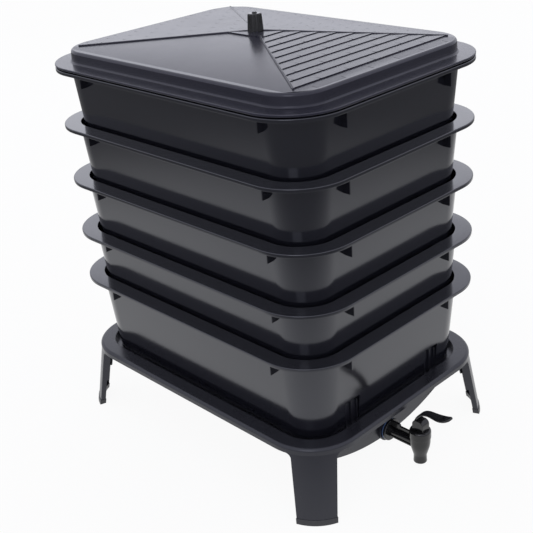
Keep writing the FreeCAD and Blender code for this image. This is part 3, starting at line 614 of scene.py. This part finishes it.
def lid():
    """The lid: a flange, a raised box, a hip roof with slates and ridge strips, and a hollow underside."""
    flange_top = LID_LEVEL + 0.0036
    box_foot, box_head = 0.0262, 0.0274
    skirt_inset, skirt = 0.0272, 0.0085
    bead_inset, bead_width, bead = 0.009, 0.005, 0.002
    piece = moulding("lid_moulding", [
        (0, LID_LEVEL), (0, flange_top), (box_foot, flange_top), (box_head, BOX_TOP),
    ])
    choose_faces(piece, lambda centre, normal: centre.z < LID_LEVEL + 0.0001 and normal.z < -0.9)
    for inward, along in (
        (bead_inset, 0), (0, bead), (bead_width, 0), (0, -bead), (skirt_inset - bead_inset - bead_width, 0),
        (0, skirt), (WALL, 0), (0, -0.0246), (0.004, -0.004),
    ):
        step_face(inward, along)
    stop_editing()
    round_rings(piece, (
        (0.0012, 3, 0, flange_top), (0.0012, 3, 0, LID_LEVEL), (0.003, 3, box_foot, flange_top),
        (0.0042, 7, box_head, BOX_TOP), (0.0008, 2, skirt_inset, LID_LEVEL - skirt),
    ))
    face_outwards(piece)
    roof = hip_roof("roof", BOX_TOP - 0.0002, 0.0015)
    roof_inset, loft_inset = 0.0318, 0.0336
    outline = moulding("roof_outline", [(roof_inset, BOX_TOP - 0.001), (roof_inset, PEAK + 0.01)])
    combine(roof, outline, "INTERSECT")
    for _, run, span, angle, courses in PANELS:
        if 0 in courses:
            combine(roof, eaves_joints("eaves_joints", run, span, angle), "DIFFERENCE")
    combine(piece, roof, "UNION")
    loft = hip_roof("loft", BOX_TOP - 0.0026, 0.003)
    outline = moulding("loft_outline", [(loft_inset, BOX_TOP - 0.004), (loft_inset, PEAK)])
    combine(loft, outline, "INTERSECT")
    combine(piece, loft, "DIFFERENCE")
    parts = [piece] + [slated_panel(*panel) for panel in PANELS]
    ridge = ridge_strip("ridge")
    hip = math.degrees(math.atan2(ROOF_Y, ROOF_X))
    for angle in (hip, 180 - hip, 180 + hip, -hip):
        strip = copy_of(ridge, "ridge")
        turn_about_middle(strip, angle)
        parts.append(strip)
    bpy.data.objects.remove(ridge)
    for part in parts:
        finish_surface(part)
    return join(parts, "lid_moulding")


def knob():
    """The knob: a fluted grip with a nipple on top, and the stud that goes through the roof."""
    foot = Vector((0, MIDDLE, PEAK - 0.0015))
    up = Vector((0, 0, 1))
    height, flute_count = 0.028, 12
    piece = rod("fluted_knob", 0.0124, foot, foot + up * height, sides=96, end_radius=0.0106)
    round_edges(piece, 0.0022, 4, lambda a, b: min(a.z, b.z) > foot.z + height - 0.0001)
    flutes = []
    for index in range(flute_count):
        turn = math.radians(360 / flute_count * (index + 0.5))
        out = Vector((math.cos(turn), math.sin(turn), 0))
        low, high = foot + out * 0.0134 + up * 0.0022, foot + out * 0.0116 + up * 0.0305
        flutes.append(rod("flute", 0.002, low, high, sides=16))
    combine(piece, join(flutes, "flutes"), "DIFFERENCE")
    crown = rod("crown", 0.0052, foot + up * 0.027, foot + up * 0.0302, end_radius=0.0026)
    soften(crown, 0.0006)
    combine(piece, crown, "UNION")
    combine(piece, rod("stud", 0.004, foot - up * 0.0125, foot + up * 0.001, sides=32), "UNION")
    soften(piece, 0.0003)
    finish_surface(piece)
    return piece


def stud_ring(name, radius, low, high, sides):
    """A washer or a nut on the knob's stud, given how far it lies below the peak."""
    low, high = Vector((0, MIDDLE, PEAK - low)), Vector((0, MIDDLE, PEAK - high))
    past = Vector((0, 0, 0.01))
    piece = rod(name, radius, low, high, sides=sides)
    combine(piece, rod("hole", 0.0039, low - past, high + past, sides=32), "DIFFERENCE")
    soften(piece, 0.0004)
    finish_surface(piece)
    return piece


# Legs and feet: one is shaped for the front left corner and mirrored to the others

# LEG_START and LEG_SWEEP are degrees round the corner, counted from the side wall
LEG_TOP = 0.1105
LEG_START = 19
LEG_SWEEP = 48
LEG_CENTRE = Vector((RIM_CORNER - RIM_HALF_X, MIDDLE + RIM_CORNER - RIM_HALF_Y, 0))
LEG_LEAN = 0.031
LEG_TAPER = 0.01
TUCK = 0.0015


def heading(angle):
    """Level direction from the corner's centre, counted from the side wall."""
    turn = math.radians(180 + angle)
    return Vector((math.cos(turn), math.sin(turn), 0))


def arc(length):
    """The angle in degrees that a short length takes up on the trays' corner."""
    return math.degrees(length / RIM_CORNER)


def lean_out(piece):
    """Lets each level of a piece slide out below the leg's top, in the leg's direction."""
    outward = heading(LEG_START + LEG_SWEEP / 2)
    slide = LEG_LEAN / LEG_TOP
    for point in piece.data.vertices:
        point.co += outward * slide * (LEG_TOP - point.co.z)


def narrowed(radius, level):
    """The radius that a leg's surface has at a level, from its radius at the top."""
    return radius - LEG_TAPER * (LEG_TOP - level) / LEG_TOP


def leaning_cone(name, radius, low, high):
    """A whole cone that leans out and narrows downwards like the leg."""
    piece = rod(
        name, narrowed(radius, low), LEG_CENTRE + Vector((0, 0, low)), LEG_CENTRE + Vector((0, 0, high)),
        sides=180, end_radius=narrowed(radius, high),
    )
    lean_out(piece)
    return piece


def leaning_slice(name, radius, start, sweep, low, high):
    """A pie slice of such a cone, between two levels."""
    put_down()
    bpy.ops.mesh.primitive_plane_add(size=1, location=(0, 0, 0))
    piece = new_piece(name)
    out = heading(start)
    for point in piece.data.vertices:
        level = high if point.co.y > 0 else low
        reach = narrowed(radius, level) if point.co.x > 0 else 0
        point.co = LEG_CENTRE + out * reach + Vector((0, 0, level))
    start_editing(piece)
    bpy.ops.mesh.spin(
        steps=max(8, round(sweep / 2)), angle=-math.radians(sweep), center=LEG_CENTRE, axis=(0, 0, 1)
    )
    face_outwards(piece)
    lean_out(piece)
    return piece


def leg():
    """A channel: a curved skin, a flange down each side, and shoulders that widen into the stand's rim."""
    outer, skin, flange, low_flange = 0.0839, 0.0812, 0.071, 0.075
    knee, blend, beside = 0.048, 0.008, 20
    side, shoulder_turn = arc(0.003), arc(blend)
    stop = LEG_START + LEG_SWEEP
    widest = (LEG_START - shoulder_turn, LEG_SWEEP + 2 * shoulder_turn)
    piece = leaning_slice("leg", outer, *widest, 0.003, LEG_TOP + TUCK)
    combine(piece, leaning_cone("core", flange, -0.01, 0.13), "DIFFERENCE")
    combine(piece, leaning_cone("core", low_flange, -0.02, knee), "DIFFERENCE")
    core = leaning_slice("core", skin, LEG_START + side, LEG_SWEEP - 2 * side, -0.03, 0.14)
    combine(piece, core, "DIFFERENCE")
    for start, angle in ((LEG_START - beside, LEG_START - shoulder_turn), (stop, stop + shoulder_turn)):
        combine(piece, leaning_slice("behind", skin, start, beside, -0.04, 0.15), "DIFFERENCE")
        combine(piece, leaning_slice("below", 0.12, start, beside, -0.05, LEG_TOP - blend), "DIFFERENCE")
        middle, out = LEG_CENTRE + Vector((0, 0, LEG_TOP - blend)), heading(angle)
        shoulder = rod("shoulder", blend, middle + out * 0.04, middle + out * 0.12, sides=96)
        lean_out(shoulder)
        combine(piece, shoulder, "DIFFERENCE")
    soften(piece, 0.0006)
    return piece


def foot():
    """The thicker shoe round the leg's end."""
    spread = arc(0.0009)
    piece = leaning_slice("foot", 0.0849, LEG_START - spread, LEG_SWEEP + 2 * spread, 0.0, 0.009)
    combine(piece, leaning_cone("core", 0.0741, -0.01, 0.02), "DIFFERENCE")
    soften(piece, 0.0011, 3)
    return piece


# Tap


def turned(name, profile, steps=72):
    """A piece turned about the bowl's axis, from radii and levels off the tap's axis."""
    put_down()
    bpy.ops.mesh.primitive_plane_add(size=0.001, location=(0, TAP_Y, 0))
    piece = new_piece(name)
    bpy.ops.object.mode_set(mode="EDIT")
    bpy.ops.mesh.select_mode(type="VERT")
    bpy.ops.mesh.select_all(action="SELECT")
    bpy.ops.mesh.merge(type="CENTER")
    radius, level = profile[0]
    bpy.ops.transform.translate(value=(radius, 0, TAP_LEVEL + level))
    for next_radius, next_level in profile[1:]:
        bpy.ops.mesh.extrude_region_move(
            TRANSFORM_OT_translate={"value": (next_radius - radius, 0, next_level - level)}
        )
        radius, level = next_radius, next_level
    bpy.ops.mesh.select_all(action="SELECT")
    bpy.ops.mesh.spin(steps=steps, angle=2 * math.pi, center=(0, TAP_Y, 0), axis=(0, 0, 1))
    face_outwards(piece)
    return piece


def tap_washer():
    piece = tap_rod("tap_washer", 0.0179, SUMP_FACE - TAP_WASHER, SUMP_FACE, sides=96)
    combine(piece, tap_rod("hole", TAP_HOLE, SUMP_FACE - 0.01, SUMP_FACE + 0.01), "DIFFERENCE")
    soften(piece, 0.0008, 3)
    finish_surface(piece)
    return piece


def tap_body():
    """The tap's body: a bowl with its nozzle, a collar, a shank through the sump, a barrel and fins."""
    back = SUMP_FACE - TAP_WASHER
    collar_front = back - 0.005
    barrel_end = back - 0.0025
    axis = TAP_LEVEL
    piece = turned("tap_body_moulding", (
        (0, -0.0325), (0.0097, -0.0325), (0.0104, -0.0321), (0.0107, -0.0313), (0.0105, -0.0285),
        (0.0103, -0.021), (0.011, -0.0175), (0.0125, -0.0125), (0.0141, -0.007), (0.0153, -0.002),
        (0.016, 0.004), (0.0163, BOWL_RISE), (0, BOWL_RISE),
    ))
    passage = rod("passage", 0.0065, (0, TAP_Y, axis - 0.04), (0, TAP_Y, axis - 0.01), sides=50)
    combine(piece, passage, "DIFFERENCE")
    collar = tap_rod("collar", 0.0185, collar_front, back, sides=96)
    soften(collar, 0.0016, 3)
    shank = tap_rod("shank", 0.008, back - 0.001, back + 0.0215, sides=64)
    barrel = tap_rod("barrel", 0.009, TAP_Y, barrel_end, sides=64)
    fin = block("fin", (-0.00225, back - 0.0225, axis), (0.00225, barrel_end, axis + 0.0185))
    round_edges(fin, 0.005, 4, lambda a, b: min(a.z, b.z) > axis + 0.018 and max(a.y, b.y) < back - 0.02)
    soften(fin, 0.0008)
    low_fin = block("low_fin", (-0.002, TAP_Y + 0.015, axis), (0.002, barrel_end, axis + 0.0145))
    soften(low_fin, 0.0008)
    flange = block("flange", (-0.0105, TAP_Y, axis - 0.0055), (0.0105, barrel_end, axis - 0.0025))
    soften(flange, 0.001)
    for part in (collar, shank, barrel, fin, low_fin, flange):
        combine(piece, part, "UNION")
    combine(piece, tap_rod("waterway", 0.005, TAP_Y, back + 0.03), "DIFFERENCE")
    soften(piece, 0.0005, 2, 44)
    finish_surface(piece)
    return piece


def tap_bonnet():
    """The cap on the bowl, hollow below and open in the middle for the stem."""
    low, high, inner, bore = BOWL_RISE, BOWL_RISE + 0.015, 0.0124, 0.0034
    piece = turned("tap_bonnet_cap", (
        (bore, high - 0.003), (inner, high - 0.003), (inner, low), (0.0165, low), (0.0168, low + 0.0003),
        (0.017, low + 0.0008), (0.017, high - 0.0045), (0.0167, high - 0.0025), (0.0158, high - 0.0009),
        (0.0142, high), (bore, high), (bore, high - 0.003),
    ))
    finish_surface(piece)
    return piece


def paddle_plate(name, top):
    """The lever's leaf: rows of points laid along its arch, given a thickness and smoothed."""
    reach, rise, aside = 0.058, 0.044, 100
    route = [
        (-0.13, 0.16, 0.0066), (-0.1, 0.34, 0.0068), (-0.02, 0.52, 0.007), (0.07, 0.66, 0.007),
        (0.17, 0.745, 0.007), (0.29, 0.785, 0.007), (0.4, 0.79, 0.0072), (0.53, 0.785, 0.0084),
        (0.67, 0.795, 0.0096), (0.8, 0.84, 0.0094), (0.91, 0.91, 0.0076), (1.0, 1.0, 0.0034),
    ]
    put_down()
    bpy.ops.mesh.primitive_grid_add(
        x_subdivisions=4, y_subdivisions=len(route) - 1, size=2, location=(0, 0, 0)
    )
    paddle = new_piece(name)
    rows = sorted({round(p.co.y, 4) for p in paddle.data.vertices})
    for (out, up, half_width), row in zip(route, rows):
        choose_points(paddle, lambda p: abs(p.z) < 0.00001 and abs(p.y - row) < 0.001)
        bpy.ops.transform.resize(value=(half_width, 1, 1), center_override=(0, 0, 0))
        bpy.ops.transform.translate(value=(0, aside - row, 0))
        stop_editing()
        choose_points(paddle, lambda p: p.y > aside - 10 and p.z < 0.00001)
        bpy.ops.transform.translate(value=(0, TAP_Y - out * reach - aside, top + up * rise))
        stop_editing()
    modify(paddle, "SOLIDIFY", thickness=0.0046, offset=0)
    face_outwards(paddle)
    modify(paddle, "SUBSURF", levels=2, render_levels=2)
    return paddle


def tap_lever():
    """A hub that straddles the stem, its pivot boss, and a leaf-shaped paddle that arches up and out."""
    top = TAP_LEVEL + 0.0275
    pivot = top + 0.0085
    half_gap, gap_low, gap_high, gap_back = 0.0034, top - 0.001, top + 0.0115, TAP_Y + 0.02
    paddle = paddle_plate("paddle", top)
    hub = block("hub", (-0.0085, TAP_Y - 0.011, top + 0.0003), (0.0085, TAP_Y + 0.0095, top + 0.0175))
    round_edges(hub, 0.0075, 6, lambda a, b: abs(a.x - b.x) > 0.01 and min(a.z, b.z) > top + 0.016)
    slot = block("slot", (-half_gap, TAP_Y - 0.0062, gap_low), (half_gap, gap_back, gap_high))
    combine(hub, slot, "DIFFERENCE")
    soften(hub, 0.0007)
    boss = rod("boss", 0.0056, (-0.008, TAP_Y, pivot), (0.0125, TAP_Y, pivot), sides=40)
    gap = block("gap", (-half_gap, TAP_Y - 0.02, gap_low), (half_gap, gap_back, gap_high))
    combine(boss, gap, "DIFFERENCE")
    soften(boss, 0.0005)
    for part in (paddle, hub, boss):
        finish_surface(part, 40)
    return join([paddle, hub, boss], "tap_lever_handle")


# Finishes


def add_node(tree, kind, sockets=None, **settings):
    """A node with its settings, whose sockets get a value each or a link from another node."""
    node = tree.nodes.new(kind)
    for setting, value in settings.items():
        setattr(node, setting, value)
    for socket, value in (sockets or {}).items():
        if isinstance(value, bpy.types.NodeSocket):
            tree.links.new(value, node.inputs[socket])
        else:
            node.inputs[socket].default_value = value
    return node


def start_material(name):
    material = bpy.data.materials.new(name)
    material.use_nodes = True
    tree = material.node_tree
    tree.nodes.clear()
    shader = add_node(tree, "ShaderNodeBsdfPrincipled")
    add_node(tree, "ShaderNodeOutputMaterial", {"Surface": shader.outputs["BSDF"]})
    place = add_node(tree, "ShaderNodeTexCoord")
    return material, tree, shader, place.outputs["Object"]


def new_group(name, inputs, outputs):
    group = bpy.data.node_groups.new(name, "ShaderNodeTree")
    for label, kind, value in inputs:
        socket = group.interface.new_socket(name=label, in_out="INPUT", socket_type=kind)
        if value is not None:
            socket.default_value = value
    for label, kind in outputs:
        group.interface.new_socket(name=label, in_out="OUTPUT", socket_type=kind)
    entry = add_node(group, "NodeGroupInput")
    leave = add_node(group, "NodeGroupOutput")
    return group, entry.outputs, leave.inputs


def moulded_surface_group():
    """Fine grain of a moulding, slow waves in its walls, and a roughness that drifts over it."""
    group, given, result = new_group(
        "moulded_surface",
        [("Place", "NodeSocketVector", None), ("Grain size", "NodeSocketFloat", 900.0),
         ("Roughness", "NodeSocketFloat", 0.2), ("Drift", "NodeSocketFloat", 0.05)],
        [("Height", "NodeSocketFloat"), ("Roughness", "NodeSocketFloat")],
    )
    place = given["Place"]
    grain = add_node(
        group, "ShaderNodeTexNoise", {"Vector": place, "Scale": given["Grain size"], "Detail": 2}
    )
    waves = add_node(group, "ShaderNodeTexNoise", {"Vector": place, "Scale": 9, "Detail": 1})
    lift = add_node(
        group, "ShaderNodeMath", {0: waves.outputs["Fac"], 1: 6, 2: grain.outputs["Fac"]},
        operation="MULTIPLY_ADD",
    )
    group.links.new(lift.outputs["Value"], result["Height"])
    clouds = add_node(group, "ShaderNodeTexNoise", {"Vector": place, "Scale": 14, "Detail": 4})
    spread = add_node(group, "ShaderNodeMath", {0: clouds.outputs["Fac"], 1: 0.5}, operation="SUBTRACT")
    drift = add_node(
        group, "ShaderNodeMath", {0: spread.outputs["Value"], 1: given["Drift"], 2: given["Roughness"]},
        operation="MULTIPLY_ADD",
    )
    group.links.new(drift.outputs["Value"], result["Roughness"])
    return group


def dust_group():
    """Pale dust that settles thinly on faces that look up."""
    group, given, result = new_group(
        "settled_dust",
        [("Place", "NodeSocketVector", None), ("Colour", "NodeSocketColor", (0.02, 0.02, 0.022, 1)),
         ("Amount", "NodeSocketFloat", 0.02)],
        [("Colour", "NodeSocketColor")],
    )
    facing = add_node(group, "ShaderNodeNewGeometry")
    split = add_node(group, "ShaderNodeSeparateXYZ", {"Vector": facing.outputs["Normal"]})
    speckle = add_node(group, "ShaderNodeTexNoise", {"Vector": given["Place"], "Scale": 160, "Detail": 5})
    upward = add_node(
        group, "ShaderNodeMath", {0: split.outputs["Z"], 1: speckle.outputs["Fac"]},
        operation="MULTIPLY", use_clamp=True,
    )
    share = add_node(
        group, "ShaderNodeMath", {0: upward.outputs["Value"], 1: given["Amount"]},
        operation="MULTIPLY", use_clamp=True,
    )
    mix = add_node(group, "ShaderNodeMix", {
        "Factor": share.outputs["Value"], "A": given["Colour"], "B": (0.42, 0.42, 0.43, 1),
    }, data_type="RGBA")
    group.links.new(mix.outputs["Result"], result["Colour"])
    return group


MOULDED = moulded_surface_group()
DUST = dust_group()


def moulded(tree, place, shader, grain, roughness, drift):
    """Gives a shader the drifting roughness of a moulded surface."""
    sockets = {"Place": place, "Grain size": grain, "Roughness": roughness, "Drift": drift}
    surface = add_node(tree, "ShaderNodeGroup", sockets, node_tree=MOULDED)
    tree.links.new(surface.outputs["Roughness"], shader.inputs["Roughness"])
    return surface


def plastic(name, colour, roughness, drift, grain, bump, dust, refraction=1.5, sheen=(1, 1, 1)):
    material, tree, shader, place = start_material(name)
    surface = moulded(tree, place, shader, grain, roughness, drift)
    relief = add_node(
        tree, "ShaderNodeBump", {"Strength": 1, "Distance": bump, "Height": surface.outputs["Height"]}
    )
    tree.links.new(relief.outputs["Normal"], shader.inputs["Normal"])
    sockets = {"Place": place, "Colour": (*colour, 1), "Amount": dust}
    settled = add_node(tree, "ShaderNodeGroup", sockets, node_tree=DUST)
    tree.links.new(settled.outputs["Colour"], shader.inputs["Base Color"])
    shader.inputs["IOR"].default_value = refraction
    shader.inputs["Specular Tint"].default_value = (*sheen, 1)
    material.diffuse_color = (*colour, 1)
    return material


def steel(name, colour, roughness):
    material, tree, shader, place = start_material(name)
    shader.inputs["Metallic"].default_value = 1
    shader.inputs["Base Color"].default_value = (*colour, 1)
    moulded(tree, place, shader, 2500, roughness, 0.15)
    return material


COOL = (0.9, 0.92, 1)
FINISHES = {
    "body_plastic": plastic(
        "tray_plastic", (0.0075, 0.0076, 0.011), 0.14, 0.08, grain=1100, bump=0.00001, dust=0.02,
        refraction=1.7, sheen=COOL,
    ),
    "stand_plastic": plastic(
        "stand_plastic", (0.011, 0.0112, 0.016), 0.28, 0.1, grain=1300, bump=0.00002, dust=0.03,
        refraction=1.52, sheen=COOL,
    ),
    "lid_plastic": plastic(
        "lid_plastic", (0.013, 0.013, 0.022), 0.23, 0.06, grain=1500, bump=0.00003, dust=0.04,
        refraction=1.48, sheen=(0.9, 0.9, 1),
    ),
    "fitting_plastic": plastic(
        "fitting_plastic", (0.007, 0.007, 0.0075), 0.13, 0.05, grain=1400, bump=0.00001, dust=0.01
    ),
    "foot_rubber": plastic(
        "foot_plastic", (0.024, 0.024, 0.028), 0.4, 0.1, grain=1500, bump=0.00003, dust=0.03
    ),
    "seal_rubber": plastic(
        "seal_rubber", (0.012, 0.012, 0.012), 0.55, 0.1, grain=1800, bump=0.00004, dust=0.02
    ),
    "washer_blue": plastic(
        "washer_rubber", (0.06, 0.11, 0.24), 0.35, 0.1, grain=1800, bump=0.00002, dust=0.02
    ),
    "spring_steel": steel("spring_steel", (0.55, 0.56, 0.58), 0.25),
    "pin_steel": steel("pin_steel", (0.6, 0.6, 0.61), 0.2),
}


def dress(piece, body, slot, *nodes, finish=None):
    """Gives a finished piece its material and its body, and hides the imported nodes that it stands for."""
    piece.data.materials.clear()
    piece.data.materials.append(FINISHES[finish or slot])
    for face in piece.data.polygons:
        face.material_index = 0
    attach(piece, body)
    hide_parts(*nodes)


# Assembly

bottom_tray = tray("bottom_tray", TRAY_RIMS[1], BOTTOM_TRAY_HEIGHT, 0.0165, 0.043, True)
dress(bottom_tray, "tray_1", "body_plastic", "tray_1")
upper_tray = tray("upper_tray_2", TRAY_RIMS[2], TRAY_HEIGHT, 0.0085, 0.038, False)
for number in (3, 4, 5):
    stacked = copy_of(upper_tray, f"upper_tray_{number}", (0, 0, TRAY_RIMS[number] - TRAY_RIMS[2]))
    dress(stacked, f"tray_{number}", "body_plastic", f"tray_{number}")
dress(upper_tray, "tray_2", "body_plastic", "tray_2")
dress(stand(), "stand", "body_plastic", "stand", finish="stand_plastic")
dress(lid(), "lid", "lid_plastic", "lid")
dress(knob(), "lid", "fitting_plastic", "lid_knob")
dress(stud_ring("knob_washer", 0.009, 0.004, 0.0024, sides=64), "lid", "seal_rubber", "lid_washer")
dress(stud_ring("knob_nut", 0.0075, 0.0105, 0.004, sides=6), "lid", "fitting_plastic", "lid_nut")

CORNERS = {
    "front_right": (-1, 1, 1), "rear_left": (1, -1, 1), "rear_right": (-1, -1, 1), "front_left": (1, 1, 1),
}
for make, kind, slot, finish in (
    (leg, "leg", "body_plastic", "stand_plastic"), (foot, "foot", "foot_rubber", "foot_rubber"),
):
    made = make()
    for corner, mirror in CORNERS.items():
        twin = copy_of(made, f"{kind}_{corner}_moulding", mirror=mirror)
        finish_surface(twin)
        dress(twin, "stand", slot, f"{kind}_{corner}", finish=finish)
    bpy.data.objects.remove(made)

dress(tap_washer(), "stand", "washer_blue", "tap_washer_outer")
dress(tap_body(), "stand", "fitting_plastic", "tap_body")
dress(tap_bonnet(), "stand", "fitting_plastic", "tap_bonnet")
dress(tap_lever(), "tap_lever", "fitting_plastic", "tap_lever")

SHOWN_NODES = {
    "tap_washer_inner": "seal_rubber", "tap_nut": "fitting_plastic", "tap_seat_cup": "seal_rubber",
    "tap_spring": "spring_steel", "tap_stem": "fitting_plastic", "tap_lever_pin": "pin_steel",
}
for node, slot in SHOWN_NODES.items():
    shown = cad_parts[node]
    shown.data.materials.clear()
    shown.data.materials.append(FINISHES[slot])


# Floor, light and camera

WHITE = (1, 1, 1, 1)
LAMP_COLOUR = (0.93, 0.94, 1)


def white_where_seen(tree, plain, bright):
    """One level for the camera and for reflections, and a plain level for what it lights."""
    path = add_node(tree, "ShaderNodeLightPath").outputs
    seen = add_node(
        tree, "ShaderNodeMath", {0: path["Is Camera Ray"], 1: path["Is Glossy Ray"]}, operation="MAXIMUM"
    )
    also = add_node(
        tree, "ShaderNodeMath", {0: seen.outputs["Value"], 1: path["Is Transmission Ray"]},
        operation="MAXIMUM",
    )
    mix = add_node(tree, "ShaderNodeMix", {
        "Factor": also.outputs["Value"], "A": plain, "B": bright,
    }, data_type="FLOAT")
    return mix.outputs["Result"]


def studio_world():
    """Even light from all round, faintly blue except where the camera sees it."""
    world = bpy.data.worlds.new("studio")
    bpy.context.scene.world = world
    world.use_nodes = True
    tree = world.node_tree
    path = add_node(tree, "ShaderNodeLightPath")
    tint = add_node(tree, "ShaderNodeMix", {
        "Factor": path.outputs["Is Camera Ray"], "A": (0.93, 0.94, 1.04, 1), "B": WHITE,
    }, data_type="RGBA")
    sky = tree.nodes["Background"]
    tree.links.new(tint.outputs["Result"], sky.inputs["Color"])
    tree.links.new(white_where_seen(tree, 0.8, 1.0), sky.inputs["Strength"])


def white_floor():
    """A floor that keeps shadows and looks white, with a painted pool of light in its reflection that fades
    with the distance from a point behind the stack.
    """
    put_down()
    bpy.ops.mesh.primitive_plane_add(size=14, location=(0, 0, 0))
    floor = new_piece("floor")
    material, tree, shader, place = start_material("white_floor")
    shader.inputs["Base Color"].default_value = (0.96, 0.96, 0.96, 1)
    shader.inputs["Roughness"].default_value = 0.9
    shader.inputs["Specular IOR Level"].default_value = 0.1
    # Painted pool of light: in reflections the floor glows fully within 0.85 m of a point behind the stack
    # and fades to a sixth beyond 1.55 m
    centred = add_node(tree, "ShaderNodeVectorMath", {0: place, 1: (0.35, 0.35, 0)}, operation="SUBTRACT")
    distance = add_node(tree, "ShaderNodeVectorMath", {0: centred.outputs["Vector"]}, operation="LENGTH")
    painted_pool_falloff = add_node(tree, "ShaderNodeMapRange", {
        "Value": distance.outputs["Value"],
        "From Min": 0.85, "From Max": 1.55, "To Min": 1.0, "To Max": 0.16,
    }, interpolation_type="SMOOTHSTEP")
    ray = add_node(tree, "ShaderNodeLightPath")
    painted_glow_level = add_node(tree, "ShaderNodeMix", {
        "Factor": ray.outputs["Is Camera Ray"], "A": painted_pool_falloff.outputs["Result"], "B": 1.0,
    }, data_type="FLOAT")
    glow = add_node(tree, "ShaderNodeEmission", {"Color": WHITE, "Strength": painted_glow_level.outputs["Result"]})
    share = add_node(tree, "ShaderNodeMixShader", {
        "Fac": white_where_seen(tree, 0.0, 0.93), 1: shader.outputs["BSDF"], 2: glow.outputs["Emission"],
    })
    tree.links.new(share.outputs["Shader"], tree.nodes["Material Output"].inputs["Surface"])
    floor.data.materials.append(material)
    return floor


def lamp(name, place, aim, width, height, power):
    data = bpy.data.lights.new(name, "AREA")
    data.shape = "RECTANGLE"
    data.size = width
    data.size_y = height
    data.energy = power
    data.color = LAMP_COLOUR
    item = bpy.data.objects.new(name, data)
    item.location = place
    item.rotation_euler = (Vector(aim) - Vector(place)).to_track_quat("-Z", "Y").to_euler()
    bpy.context.scene.collection.objects.link(item)


studio_world()
floor = white_floor()
lamp("high_softbox", (2.15, 2.35, 1.42), aim=(0, 0, 0.6), width=2.8, height=0.7, power=4.4)
lamp("front_softbox", (-2.4, -1.4, 1.9), aim=(0, 0, 0.3), width=1.2, height=1.2, power=10)

camera_data = bpy.data.cameras.new("camera")
camera_data.sensor_width = 36
camera_data.lens = 65.83
camera = bpy.data.objects.new("camera", camera_data)
bpy.context.scene.collection.objects.link(camera)
right = Vector((0.70851, -0.70223, -0.06987))
upward = Vector((0.35177, 0.26561, 0.89762))
backward = Vector((-0.61178, -0.66055, 0.43521))
turn = Matrix((right, upward, backward)).transposed().to_4x4()
camera.matrix_world = Matrix.Translation((-1.0033, -1.0313, 0.9734)) @ turn
bpy.context.scene.camera = camera
bpy.context.scene.view_settings.view_transform = "Standard"
